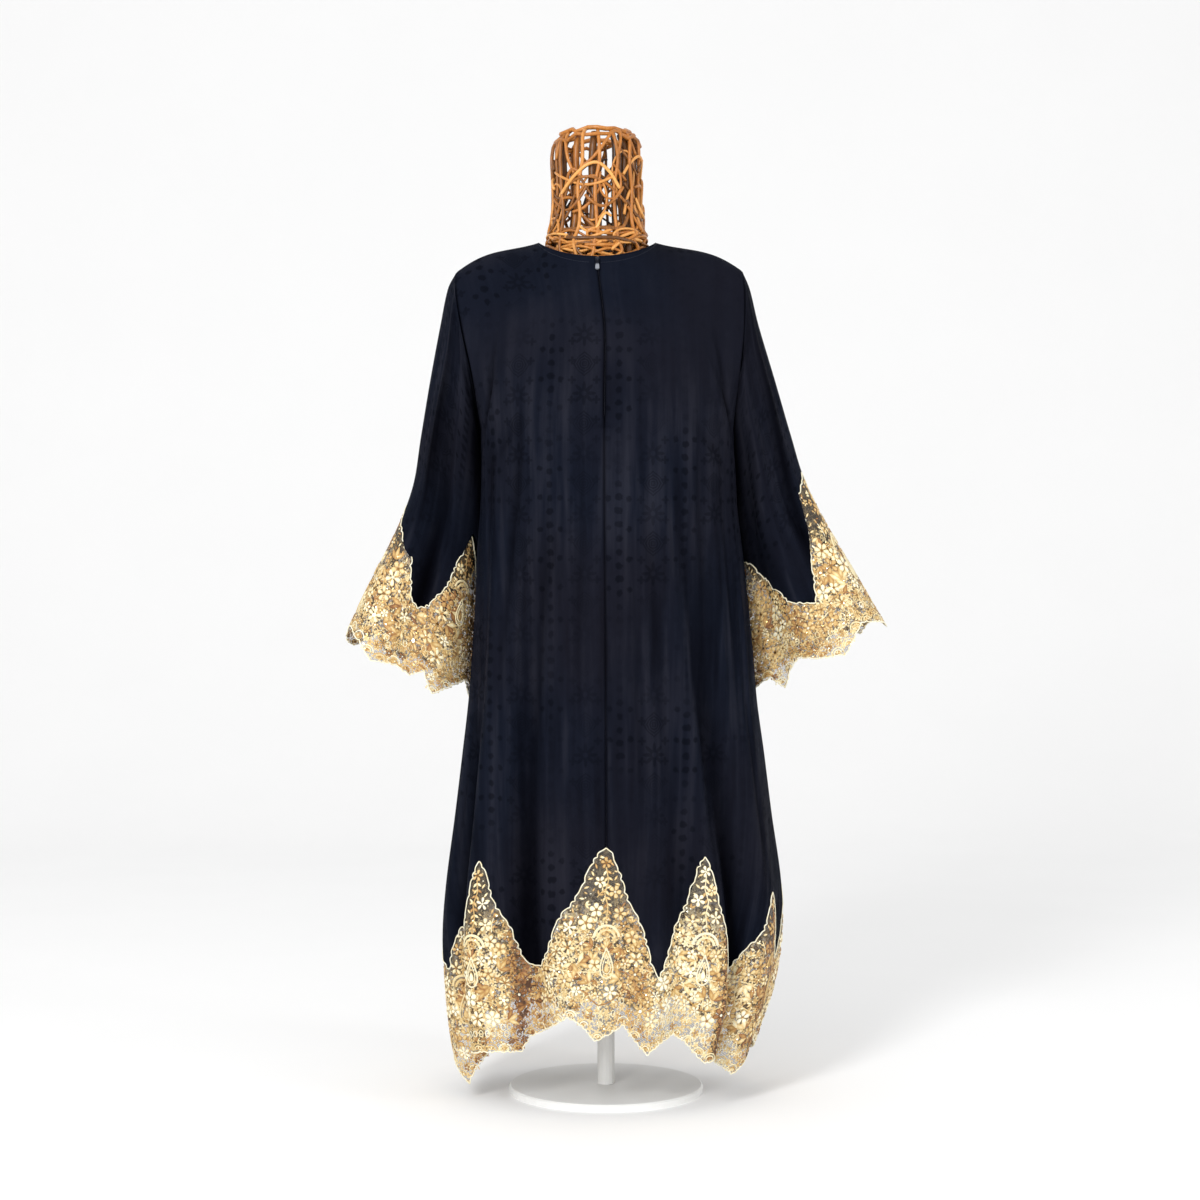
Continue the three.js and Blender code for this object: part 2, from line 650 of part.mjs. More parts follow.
function zigzagAt(angle) {
  return stepped(ZIGZAG, "z", turn(0, angle));
}

// A line from point to point that goes down each slope in two steps.
function stepped(table, column, place) {
  const { i, share } = rowsAt(table, "at", place);
  const eased = share - ZIGZAG_STEPS * Math.sin(4 * Math.PI * share);
  return mix(table[i][column], table[i + 1][column], eased);
}

// Places from one to another that hit each given corner and are about a step apart.
function columnsBetween(from, to, step, corners) {
  const stops = corners.filter((at) => at > from + 0.5 && at < to - 0.5);
  const marks = [from, ...new Set(stops.sort((a, b) => a - b)), to];
  const columns = [];
  for (let i = 0; i < marks.length - 1; i += 1) {
    const parts = Math.max(1, Math.round((marks[i + 1] - marks[i]) / step));
    for (let k = 0; k < parts; k += 1) columns.push(mix(marks[i], marks[i + 1], k / parts));
  }
  return [...columns, to];
}

const NECK_CORNERS = [-NECK.columns, NECK.columns, BACK_CORNER, -BACK_CORNER];
const BODY_CORNERS = [...ZIGZAG.map((row) => row.at), ...NECK_CORNERS].flatMap((at) => [at, at + 360]);

// Points and normals of a surface in columns u and rows v.
function gridOf(surface, us, vs, from, to) {
  const at = (u, v) => ({ point: surface(u, v), normal: normalOf(surface, u, v, from, to) });
  return us.map((u) => vs.map((v) => at(u, v)));
}

// A panel of the body between two seams, with the seams' gaps left free.
function bodyPanel(from, to) {
  const columns = columnsBetween(from + SEAM_TURN, to - SEAM_TURN, BODY_STEP, BODY_CORNERS);
  const shoulder = [RIDGE_GAP, ZIP_START, ...evenly(SHOULDER_ROWS).slice(1)];
  const skirt = evenly(SKIRT_ROWS).slice(1).map((t) => 1 + t);
  const grid = gridOf(bodySurface, columns, [...shoulder, ...skirt], columns[0], columns.at(-1));
  return wallOf(grid, CLOTH, false);
}

function hemLace(from, to) {
  const columns = columnsBetween(from + SEAM_TURN, to - SEAM_TURN, BODY_STEP, BODY_CORNERS);
  return wallOf(gridOf(laceSurface, columns, evenly(LACE_ROWS)), LACE, false);
}

// A ring of cloth round a sleeve between two lines along it, each a share of its length.
function sleeveRing(side, upper, lower, rows, thickness) {
  const corners = CUFF_ZIGZAG[side].map((row) => row.at);
  const columns = columnsBetween(0, 360, SLEEVE_STEP, corners).slice(0, -1);
  const surface = (round, v) => {
    return sleevePoint(side, (round + 360) % 360, mix(upper(round), lower(round), v));
  };
  return wallOf(gridOf(surface, columns, evenly(rows)), thickness, true);
}

function sleeveTube(side) {
  const lower = (round) => stepped(CUFF_ZIGZAG[side], "f", (round + 360) % 360) - CUFF_BAR;
  return sleeveRing(side, () => 0, lower, SLEEVE_ROWS, CLOTH);
}

function cuffLace(side) {
  const upper = (round) => stepped(CUFF_ZIGZAG[side], "f", (round + 360) % 360) + CUFF_BAR;
  const lower = (round) => straight(CUFF_EDGE[side], "at", "f", (round + 360) % 360);
  return sleeveRing(side, upper, lower, CUFF_ROWS, LACE);
}

// ---- The zip -------------------------------------------------------------------------------

// The tape behind the closed front edges, from the neck to the underarm's height.
function zipTape() {
  const inside = CLOTH / 2 + ZIP.gap + ZIP.thickness / 2;
  const across = [-1, 0, 1];
  const rows = [ZIP_START, ...evenly(SHOULDER_ROWS).slice(1)];
  const grid = across.map((share) =>
    rows.map((t) => {
      const angle = share * angleOf(ZIP.halfWidth, t);
      const normal = normalOf(shoulderPoint, angle, t);
      return { point: shoulderPoint(angle, t).addScaledVector(normal, -inside), normal };
    }),
  );
  return wallOf(grid, ZIP.thickness, false);
}

// The turn from the centre front that reaches a given distance sideways.
function angleOf(distance, t) {
  return distance / (shoulderPoint(1, t).x - shoulderPoint(0, t).x);
}

// The place and tilt of the slider on the front.
function sliderFrame() {
  const point = shoulderPoint(0, SLIDER.at);
  const normal = normalOf(shoulderPoint, 0, SLIDER.at);
  const tilt = Math.atan2(normal.z, -normal.y);
  const lift = CLOTH / 2 + SEAM + SLIDER.thickness / 2;
  const centre = point.addScaledVector(new THREE.Vector3(0, -Math.cos(tilt), Math.sin(tilt)), lift);
  return { centre, tilt };
}

function asSolid(geometry) {
  const bare = geometry.clone();
  bare.deleteAttribute("normal");
  bare.deleteAttribute("uv");
  const merged = mergeVertices(bare, WELD);
  return new wasm.Manifold(
    new wasm.Mesh({
      numProp: 3,
      vertProperties: merged.attributes.position.array,
      triVerts: new Uint32Array(merged.index.array),
    }),
  );
}

function asGeometry(solid) {
  const mesh = solid.getMesh();
  const geometry = new THREE.BufferGeometry();
  geometry.setAttribute("position", new THREE.Float32BufferAttribute(mesh.vertProperties, 3));
  geometry.setIndex(new THREE.BufferAttribute(mesh.triVerts, 1));
  return geometry;
}

// The slider: a rounded plate with an arch that the tab's bar runs under. Local -Y is outwards.
function sliderGeometry() {
  const plate = new THREE.Shape();
  const [w, l] = [SLIDER.width / 2, SLIDER.length / 2];
  const [nose, tail, bulge] = [w * SLIDER.nose, w * SLIDER.tail, l * SLIDER.bulge];
  plate.moveTo(-nose, l).lineTo(nose, l);
  plate.quadraticCurveTo(w, l, w, bulge).lineTo(tail, -l).lineTo(-tail, -l);
  plate.lineTo(-w, bulge).quadraticCurveTo(-w, l, -nose, l);
  const body = new THREE.ExtrudeGeometry(plate, {
    depth: SLIDER.thickness,
    bevelEnabled: false,
    curveSegments: 4,
  });
  body.translate(0, 0, -SLIDER.thickness / 2).rotateX(Math.PI / 2);
  const staple = new THREE.Shape();
  const [outer, inner] = [ARCH.length / 2, ARCH.length / 2 - ARCH.thickness];
  const [top, foot] = [SLIDER.thickness / 2 + ARCH.height, 0];
  const { corner } = ARCH;
  staple.moveTo(-outer, foot).lineTo(-outer, top - corner).lineTo(-outer + corner, top);
  staple.lineTo(outer - corner, top).lineTo(outer, top - corner).lineTo(outer, foot);
  staple.lineTo(inner, foot).lineTo(inner, top - ARCH.thickness);
  staple.lineTo(-inner, top - ARCH.thickness).lineTo(-inner, foot).closePath();
  const arch = new THREE.ExtrudeGeometry(staple, { depth: ARCH.width, bevelEnabled: false });
  arch.translate(0, 0, -ARCH.width / 2);
  // The staple's own x runs along the zip, its y outwards and its depth across the zip.
  const axes = new THREE.Matrix4().makeBasis(
    new THREE.Vector3(0, 0, 1),
    new THREE.Vector3(0, -1, 0),
    new THREE.Vector3(1, 0, 0),
  );
  arch.applyMatrix4(axes);
  return asGeometry(asSolid(body).add(asSolid(arch)));
}

// The pull tab: a drop with a slot, hanging from the bar at its top. Local -Y is outwards.
function tabGeometry() {
  const drop = new THREE.Shape();
  const half = TAB.thickness / 2;
  const [neck, wide] = [TAB.neck / 2, TAB.width / 2];
  const [slim, full] = TAB.flare;
  drop.moveTo(-neck, half).lineTo(neck, half).lineTo(neck, -TAB.holeTo);
  drop.bezierCurveTo(neck, -slim, wide, -full, wide, -TAB.length + wide);
  drop.absarc(0, -TAB.length + wide, wide, 0, -Math.PI, true);
  drop.bezierCurveTo(-wide, -full, -neck, -slim, -neck, -TAB.holeTo);
  drop.closePath();
  const tab = new THREE.ExtrudeGeometry(drop, {
    depth: TAB.thickness,
    bevelEnabled: false,
    curveSegments: 6,
  });
  tab.translate(0, 0, -half).rotateX(Math.PI / 2);
  const slot = new THREE.BoxGeometry(TAB.hole, 2 * TAB.thickness, TAB.holeTo - half);
  slot.translate(0, 0, -(TAB.holeTo + half) / 2);
  return asGeometry(asSolid(tab).subtract(asSolid(slot)));
}

// ---- The dress form and its stand ----------------------------------------------------------

// The columns of points round the form: the front from side to side, then the back.
function formColumns() {
  const column = (share, back) => ({ angle: mix(back ? 90 : -90, back ? 270 : 90, share), back });
  const half = (back) => evenly(FORM.columns).map((share) => column(share, back));
  return [...half(false), ...half(true)];
}

// A point of the form under the tunic's shoulders, a little inside the cloth.
function formShoulderPoint({ angle, back }, t) {
  const round = turn(0, angle);
  const fromMiddle = back ? 180 - Math.abs(round) : Math.abs(round);
  const sign = round < 0 ? -1 : 1;
  const inMiddle = 1 - clamp01(fromMiddle / NECK.columns);
  const gap = CLOTH / 2 + mix(FORM.clear, FORM.clearBust, Math.max(t ** 1.5, inMiddle));
  const point = shoulderPoint(angle, t, back);
  if (t === 0 && fromMiddle >= NECK.columns) return point.setZ(point.z - gap);
  if (fromMiddle === 90) {
    const inward = point.x - sign * FORM.armInset;
    return new THREE.Vector3(inward, point.y * FORM.armShare, point.z - gap);
  }
  const [from, to] = back ? [90, 270] : [-90, 90];
  return point.addScaledVector(normalOf(shoulderPoint, angle, t, from, to), -gap);
}

// A point of the form below the underarm, where it follows its own sections.
function formLowPoint({ angle }, z) {
  const s = Math.sin(radians(angle));
  const c = Math.cos(radians(angle));
  const reach = smooth(FORM_SECTIONS, "z", s < 0 ? "minusX" : "plusX", z);
  const depth = smooth(FORM_SECTIONS, "z", c < 0 ? "back" : "front", z);
  return new THREE.Vector3(
    reach * power(s, FORM.roundness),
    -depth * power(c, FORM.roundness),
    z,
  );
}

// A point of the short neck, which turns from the neckline's oval into a round seat.
function neckPoint({ angle, back }, z) {
  const round = turn(0, angle);
  const fromMiddle = back ? 180 - Math.abs(round) : Math.abs(round);
  const quarter = radians((90 * fromMiddle) / NECK.columns);
  return new THREE.Vector3(
    NECK.x + Math.sign(round) * FORM.neckFoot * Math.sin(quarter),
    FORM.neckY + (back ? 1 : -1) * FORM.neckFoot * Math.cos(quarter),
    z,
  );
}

// Faces between neighbouring rings of points, and a flat fan over the last ring.
function loftFaces(positions, index, rings) {
  const start = positions.length / 3;
  const count = rings[0].length;
  for (const point of rings.flat()) positions.push(...point.toArray());
  for (let k = 0; k < rings.length - 1; k += 1) {
    for (let i = 0; i < count; i += 1) {
      const a = start + k * count + i;
      const b = start + k * count + ((i + 1) % count);
      index.push(a, b, b + count, a, b + count, a + count);
    }
  }
  const last = rings[rings.length - 1];
  const centre = last.reduce((sum, point) => sum.add(point), new THREE.Vector3());
  const middle = positions.length / 3;
  positions.push(...centre.divideScalar(count).toArray());
  for (let i = 0; i < count; i += 1) {
    index.push(middle - count + i, middle - count + ((i + 1) % count), middle);
  }
}

// The trunk: down from the shoulders to its flat bottom, and up from the neckline to the neck.
function formTorso() {
  const columns = formColumns();
  const positions = [];
  const index = [];
  const shoulders = evenly(SHOULDER_ROWS).map((t) => columns.map((at) => formShoulderPoint(at, t)));
  const lower = FORM_SECTIONS.slice(1).map(({ z }) => columns.map((at) => formLowPoint(at, z)));
  loftFaces(positions, index, [...shoulders, ...lower]);
  const inNeck = ({ angle, back }) => Math.abs(turn(back ? 180 : 0, angle)) <= NECK.columns;
  const loop = columns.filter(inNeck);
  const neckline = loop.map((at) => formShoulderPoint(at, 0));
  const seat = loop.map((at) => neckPoint(at, FORM.neckSeat - SEAM));
  const flipped = [];
  loftFaces(positions, flipped, [neckline, seat]);
  for (let i = 0; i < flipped.length; i += 3) index.push(flipped[i], flipped[i + 2], flipped[i + 1]);
  return weldedGeometry(positions, index);
}

// Points that coincide become one, and faces without area go.
function weldedGeometry(positions, index) {
  const loose = new THREE.BufferGeometry();
  loose.setAttribute("position", new THREE.Float32BufferAttribute(positions, 3));
  loose.setIndex(index);
  const welded = mergeVertices(loose, WELD);
  const faces = [];
  for (let i = 0; i < welded.index.count; i += 3) {
    const [a, b, c] = [0, 1, 2].map((k) => welded.index.getX(i + k));
    if (a !== b && b !== c && c !== a) faces.push(a, b, c);
  }
  return closedGeometry([...welded.attributes.position.array], faces);
}

function formNeck() {
  const { neckSeat, neckTop, neckRadius, neckFoot, neckRound, neckWaist, neckShaft } = FORM;
  const profile = [new THREE.Vector2(0, neckSeat), new THREE.Vector2(neckFoot, neckSeat)];
  profile.push(new THREE.Vector2(neckWaist.radius, neckSeat + neckWaist.rise));
  profile.push(new THREE.Vector2(neckRadius, neckSeat + neckShaft));
  for (const share of evenly(SIDES.neckCorner)) {
    const turned = (Math.PI / 2) * share;
    const radius = neckRadius - neckRound * (1 - Math.cos(turned));
    profile.push(new THREE.Vector2(radius, neckTop - neckRound * (1 - Math.sin(turned))));
  }
  profile.push(new THREE.Vector2(0, neckTop));
  return new THREE.LatheGeometry(profile, SIDES.neck).rotateX(Math.PI / 2);
}

function standPole() {
  const [low, high] = [STAND.baseHeight + SEAM, FORM_SECTIONS.at(-1).z - SEAM];
  const { poleRadius } = STAND;
  const pole = new THREE.CylinderGeometry(poleRadius, poleRadius, high - low, SIDES.pole);
  return pole.rotateX(Math.PI / 2).translate(0, 0, (low + high) / 2);
}

function standBase() {
  const { baseRadius, baseHeight, baseChamfer } = STAND;
  const profile = [
    new THREE.Vector2(0, 0),
    new THREE.Vector2(baseRadius, 0),
    new THREE.Vector2(baseRadius, baseHeight - baseChamfer),
    new THREE.Vector2(baseRadius - baseChamfer, baseHeight),
    new THREE.Vector2(0, baseHeight),
  ];
  return new THREE.LatheGeometry(profile, SIDES.base).rotateX(Math.PI / 2);
}

// ---- Materials and assembly ----------------------------------------------------------------

const FINISHES = {
  navyJacquard: { color: 0x12161f, roughness: 0.55, metalness: 0 },
  goldLace: { color: 0xc9a05a, roughness: 0.45, metalness: 0.4 },
  zipTape: { color: 0x0c0f16, roughness: 0.8, metalness: 0 },
  zipSteel: { color: 0xb4b8bf, roughness: 0.3, metalness: 0.9 },
  rattan: { color: 0xa8692c, roughness: 0.5, metalness: 0 },
  paleMetal: { color: 0xeeece8, roughness: 0.4, metalness: 0 },
};

const dressedForm = new THREE.Group();

function piece(name, geometry, finish) {
  geometry.computeVertexNormals();
  const mesh = new THREE.Mesh(geometry, new THREE.MeshStandardMaterial(FINISHES[finish]));
  mesh.name = name;
  dressedForm.add(mesh);
  return mesh;
}

piece("front_right", bodyPanel(-90, 0), "navyJacquard");
piece("front_left", bodyPanel(0, 90), "navyJacquard");
piece("back", bodyPanel(90, 270), "navyJacquard");
piece("sleeve_right", sleeveTube("minusX"), "navyJacquard");
piece("sleeve_left", sleeveTube("plusX"), "navyJacquard");
piece("hem_lace_front", hemLace(-90, 90), "goldLace");
piece("hem_lace_back", hemLace(90, 270), "goldLace");
piece("cuff_lace_right", cuffLace("minusX"), "goldLace");
piece("cuff_lace_left", cuffLace("plusX"), "goldLace");
piece("zip_tape", zipTape(), "zipTape");
piece("form_torso", formTorso(), "rattan");
piece("form_neck", formNeck().translate(NECK.x, FORM.neckY, 0), "rattan");
piece("stand_pole", standPole(), "paleMetal");
piece("stand_base", standBase(), "paleMetal");

// The slider and its tab lie on the front, tilted with the cloth. The tab turns on its upper bar.
const { centre, tilt } = sliderFrame();
const barLift = SLIDER.thickness / 2 + (ARCH.height - ARCH.thickness) / 2;
const outwards = new THREE.Vector3(0, -Math.cos(tilt), Math.sin(tilt));
const slider = piece("zip_slider", sliderGeometry(), "zipSteel");
slider.position.copy(centre);
slider.rotation.x = -tilt;
const tab = piece("zip_pull_tab", tabGeometry(), "zipSteel");
tab.position.copy(centre).addScaledVector(outwards, barLift);
tab.rotation.x = -tilt;

export default dressedForm;
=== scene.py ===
"""The dressed form in Blender: navy jacquard tunic, gold zigzag lace, woven cane form on a stand.

All shapes are worked out in millimetres and become metres when a mesh is made. +Z is up, the front
faces -Y, and +X is the wearer's left.
"""
import math

import bpy
import numpy as np
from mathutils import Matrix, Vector


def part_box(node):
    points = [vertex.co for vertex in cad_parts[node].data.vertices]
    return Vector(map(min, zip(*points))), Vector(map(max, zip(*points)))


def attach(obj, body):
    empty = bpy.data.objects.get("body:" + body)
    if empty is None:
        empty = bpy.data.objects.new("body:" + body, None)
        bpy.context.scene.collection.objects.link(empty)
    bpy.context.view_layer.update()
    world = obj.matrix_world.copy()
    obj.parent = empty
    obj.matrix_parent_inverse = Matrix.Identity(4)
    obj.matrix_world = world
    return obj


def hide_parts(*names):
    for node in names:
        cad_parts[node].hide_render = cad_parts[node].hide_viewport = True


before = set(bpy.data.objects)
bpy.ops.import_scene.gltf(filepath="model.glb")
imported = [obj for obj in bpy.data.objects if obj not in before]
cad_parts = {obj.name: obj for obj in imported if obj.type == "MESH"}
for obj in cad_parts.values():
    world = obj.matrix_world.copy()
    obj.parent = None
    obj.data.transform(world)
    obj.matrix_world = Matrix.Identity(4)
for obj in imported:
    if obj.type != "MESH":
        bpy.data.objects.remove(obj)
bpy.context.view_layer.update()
MM = 0.001
TINY = 1e-9
SIDES = ("minusX", "plusX")
rng = np.random.default_rng(41)


def table(names, *rows):
    """A table of numbers as one array for each named column."""
    return {name: np.array(column, float) for name, column in zip(names.split(), zip(*rows))}


# ---- Driving sizes, the same as the solids' ------------------------------------------------------

UNDERARM = 957
SHOULDER_Y = 6
SQUARE = 2.3
NECK_X, NECK_HALF, NECK_SIDE, NECK_COLUMNS = -13, 85, 1228, 30
NECK_FRONT, NECK_BACK = (-90, 1195), (70, 1226)
TIP = {"minusX": (-217, 1184), "plusX": (197, 1186)}
SHOULDER_RISE = 10
SHOULDER_BOW, NECK_DIP, CENTRE_BEND = 1.5, 1.4, 3  # exponents, as in the solids
NECK_SHARE, NECK_FORWARD, ARMHOLE_OPEN, EDGE_REACH = 0.3, 0.75, 0.75, 4
FOLDS_FULL_BELOW, FOLD_GROWTH = 150, 1.3
FOLD_SHADE = 17  # depth of a fold whose painted shade is as dark as the painted fold shade becomes
ZIGZAG_STEPS = 0.035
ARMHOLE_DEPTH = 57
SLEEVE_CLEAR, SLEEVE_EASE = 2.6, 2.4
SLEEVE_FOLD_START, SLEEVE_FOLD_RUN, SLEEVE_FOLD_GROWTH = 0.12, 0.7, 1.2
SLEEVE_JOIN = 0.22  # how far along the sleeve its oval is led to the armhole
SLEEVE_TUCK = 0.6  # how far the sleeve reaches in under the edge of the armhole
CLOTH, EDGE_GAP = 0.9, 0.4

SECTIONS = table(
    "z minusX plusX front back",
    (957, 181, 185, 126, 106),
    (880, 181, 188, 128, 108),
    (841, 182, 190, 128, 110),
    (783, 186, 197, 129, 113),
    (710, 189, 205, 130, 117),
    (638, 193, 212, 132, 122),
    (565, 198, 218, 135, 126),
    (490, 206, 228, 138, 130),
    (400, 216, 238, 143, 136),
    (300, 228, 250, 149, 143),
    (225, 232, 250, 153, 147),
    (150, 227, 237, 154, 148),
    (100, 222, 220, 153, 147),
    (50, 213, 202, 151, 145),
    (0, 202, 178, 148, 142),
)
CENTRE_FRONT = table(
    "z x",
    (1195, -13), (1160, -10), (1120, -5), (1080, -2), (957, -3), (600, -1), (350, 0), (0, 0),
)
FOLDS = table(
    "at start width depth top lean",
    (-80, -82, 8, 6, 700, 0),
    (-61, -66, 6, -30, 780, 6),
    (-46, -52, 9, 20, 900, -8),
    (-25, -33, 7, -24, 820, 3),
    (-7, -14, 9, 12, 900, 0),
    (6, 3, 4, -9, 600, 0),
    (13, 13, 6, 12, 880, 0),
    (23, 14, 6, -12, 860, 0),
    (36, 20, 6, 23, 930, 5),
    (44, 34, 5, -25, 900, 0),
    (59, 57, 10, 13, 880, 0),
    (80, 76, 8, -6, 600, 0),
    (99, 100, 8, 12, 700, 0),
    (114, 112, 6, -20, 800, 0),
    (129, 130, 8, 18, 860, 4),
    (144, 146, 6, -18, 820, 0),
    (159, 158, 8, 16, 900, -4),
    (172, 171, 5, -12, 700, 0),
    (-173, -172, 8, 15, 880, 0),
    (-157, -158, 6, -20, 840, 0),
    (-141, -142, 9, 19, 900, -5),
    (-124, -127, 6, -18, 800, 0),
    (-108, -108, 8, 14, 760, 0),
)
ZIGZAG = table(
    "at z",
    (-180, 336), (-160, 192), (-141, 340), (-122, 190), (-103, 318), (-86, 205), (-73, 182),
    (-67, 246), (-58, 172), (-45.5, 345), (-27, 201), (-21, 203), (0, 367), (13.5, 187),
    (29, 354), (40, 172), (66, 296), (84, 196), (103, 322), (122, 186), (142, 345), (160, 190),
    (180, 336),
)
HEM = table(
    "at z",
    (-180, 112), (-168, 84), (-157, 116), (-145, 108), (-138, 78), (-126, 104), (-114, 84),
    (-106, 52), (-96, 74), (-84, 58), (-76, 40), (-70, 23), (-66, 50), (-60, 74), (-50, 78),
    (-43, 82), (-31, 82), (-28, 102), (-18, 118), (-10.5, 136), (-6, 124), (-2.5, 103),
    (1.5, 116), (4, 124), (8, 102), (12, 84), (16, 98), (22, 108), (27, 98), (33, 70),
    (40, 76), (46, 66), (55, 45), (62, 60), (84, 84), (96, 62), (106, 50), (116, 82),
    (128, 108), (138, 80), (148, 106), (158, 116), (168, 86), (180, 112),
)
SLEEVE_COLUMNS = "f outX outZ outY inX inZ inY deep"
SLEEVES = {
    "minusX": table(
        SLEEVE_COLUMNS,
        (0.0, 217, 1184, 6, 183, 957, 4, 57),
        (0.08, 229, 1162, 8, 179, 938, 22, 60),
        (0.2, 240, 1110, 10, 176, 906, 38, 64),
        (0.35, 255, 1030, 12, 174, 862, 46, 66),
        (0.5, 269, 946, 14, 174, 812, 52, 68),
        (0.62, 280, 878, 15, 175, 768, 58, 72),
        (0.74, 303, 815, 14, 178, 720, 64, 77),
        (0.87, 337, 747, 12, 179, 654, 72, 83),
        (1.0, 371, 676, 10, 180, 582, 78, 88),
        (1.1, 398, 620, 9, 180, 524, 82, 92),
    ),
    "plusX": table(
        SLEEVE_COLUMNS,
        (0.0, 197, 1186, 6, 186, 957, 4, 57),
        (0.08, 208, 1162, 8, 182, 938, 22, 60),
        (0.2, 221, 1110, 10, 179, 906, 38, 64),
        (0.35, 245, 1030, 12, 178, 862, 46, 66),
        (0.5, 269, 948, 14, 180, 812, 54, 68),
        (0.62, 289, 884, 15, 184, 768, 60, 72),
        (0.74, 322, 818, 14, 190, 720, 66, 77),
        (0.87, 363, 748, 12, 194, 656, 74, 83),
        (1.0, 404, 678, 10, 198, 588, 80, 88),
        (1.1, 436, 622, 9, 199, 532, 84, 92),
    ),
}
SLEEVE_FOLDS = {
    "minusX": table(
        "at width depth",
        (42, 20, 5), (82, 16, -12), (118, 17, 8), (150, 10, -8), (205, 18, 7), (240, 14, -9),
        (285, 18, 7), (325, 14, -6),
    ),
    "plusX": table(
        "at width depth",
        (35, 16, 4), (62, 13, -8), (90, 15, 7), (120, 12, -9), (148, 12, 5), (215, 16, 7),
        (248, 14, -9), (290, 18, 7), (326, 13, -6),
    ),
}
CUFF_ZIGZAG = {
    "minusX": table(
        "at f",
        (0, 0.675), (60, 0.78), (72, 0.87), (81, 0.89), (92, 0.865), (105, 0.79), (122, 0.59),
        (150, 0.69), (178, 0.85), (216, 0.62), (258, 0.89), (300, 0.63), (334, 0.86),
        (360, 0.675),
    ),
    "plusX": table(
        "at f",
        (0, 0.64), (18, 0.595), (45, 0.63), (52, 0.72), (64, 0.8), (77, 0.88), (96, 0.855),
        (118, 0.75), (150, 0.6), (180, 0.84), (222, 0.63), (262, 0.89), (300, 0.64),
        (336, 0.86), (360, 0.64),
    ),
}
CUFF_EDGE = {
    "minusX": table(
        "at f",
        (0, 1.01), (22, 1.0), (45, 1.02), (58, 1.05), (75, 1.04), (90, 1.045), (100, 1.02),
        (108, 1.065), (122, 1.03), (136, 1.0), (150, 1.035), (180, 1.02), (204, 1.045),
        (226, 1.01), (248, 1.045), (272, 1.01), (294, 1.04), (314, 1.0), (334, 1.05),
        (347, 1.04), (360, 1.01),
    ),
    "plusX": table(
        "at f",
        (0, 1.01), (30, 0.985), (46, 0.972), (58, 1.005), (69, 1.03), (90, 1.01), (103, 0.99),
        (112, 1.01), (119, 1.05), (130, 1.01), (142, 1.025), (160, 1.0), (182, 1.02),
        (206, 1.0), (228, 1.03), (252, 0.99), (274, 1.02), (296, 0.98), (318, 1.01),
        (340, 0.985), (360, 1.01),
    ),
}
ARMHOLE = {
    "minusX": table(
        "z x", (1184, 217), (1145, 214), (1090, 205), (1040, 195), (1000, 188), (957, 181)
    ),
    "plusX": table(
        "z x", (1186, 197), (1145, 199), (1090, 198), (1040, 194), (1000, 190), (957, 185)
    ),
}

# ---- Small tools ---------------------------------------------------------------------------------


def mix(a, b, share):
    return a + (b - a) * share


def clamp01(value):
    return np.clip(value, 0, 1)


def power(value, exponent):
    return np.sign(value) * np.abs(value) ** exponent


def turn(start, end):
    """The turn from one angle to another, between -180 and 180 degrees."""
    return ((end - start) % 360 + 540) % 360 - 180


def bell(value, width):
    return np.exp(-((value / width) ** 2))


def cos_sin(degrees):
    return np.cos(np.radians(degrees)), np.sin(np.radians(degrees))


def same_shape(*values):
    return np.broadcast_arrays(*(np.asarray(value, float) for value in values))


def stack(x, y, z):
    return np.stack(np.broadcast_arrays(x, y, z), axis=-1).astype(float)


def unit(vectors):
    return vectors / np.maximum(np.linalg.norm(vectors, axis=-1, keepdims=True), TINY)


def along_line(line):
    """The distance along a line to each of its points."""
    return np.append(0, np.cumsum(np.linalg.norm(np.diff(line, axis=0), axis=1)))


def ahead_of(line, closed=False):
    return unit(np.roll(line, -1, 0) - np.roll(line, 1, 0) if closed else np.gradient(line, axis=0))


def rows_at(rows, key, place):
    keys = rows[key]
    way = 1 if keys[-1] > keys[0] else -1
    i = np.clip(np.searchsorted(way * keys, way * np.asarray(place)) - 1, 0, len(keys) - 2)
    return i, clamp01((place - keys[i]) / (keys[i + 1] - keys[i]))


def straight(rows, key, column, place):
    i, share = rows_at(rows, key, place)
    return mix(rows[column][i], rows[column][i + 1], share)


def smooth(rows, key, column, place):
    """A column's value at a place, along a smooth curve through the rows."""
    i, share = rows_at(rows, key, place)
    keys, values = rows[key], rows[column]
    before = np.maximum(np.arange(len(keys)) - 1, 0)
    after = np.minimum(np.arange(len(keys)) + 1, len(keys) - 1)
    slopes = (values[after] - values[before]) / (keys[after] - keys[before])
    step = keys[i + 1] - keys[i]
    s2, s3 = share**2, share**3
    return (
        values[i] * (2 * s3 - 3 * s2 + 1)
        + slopes[i] * step * (s3 - 2 * s2 + share)
        + values[i + 1] * (3 * s2 - 2 * s3)
        + slopes[i + 1] * step * (s3 - s2)
    )


def by_side(angle, rows, key, place):
    return np.where(angle < 0, *(smooth(rows, key, side, place) for side in SIDES))


def front_or_back(front, rows, z):
    return np.where(front, smooth(rows, "z", "front", z), smooth(rows, "z", "back", z))


def stepped(rows, column, place):
    """A line from point to point that goes down each slope in two steps."""
    i, share = rows_at(rows, "at", place)
    eased = share - ZIGZAG_STEPS * np.sin(4 * np.pi * share)
    return mix(rows[column][i], rows[column][i + 1], eased)


# ---- The tunic's middle surface ------------------------------------------------------------------


def folds_at(angle, z):
    """Each fold's depth, its lean, and its share of the places."""
    for at, start, width, depth, top, lean in zip(*FOLDS.values()):
        grown = clamp01((top - z) / (top - FOLDS_FULL_BELOW)) ** FOLD_GROWTH
        yield depth, lean, grown * bell(turn(mix(start, at, grown), angle), width)


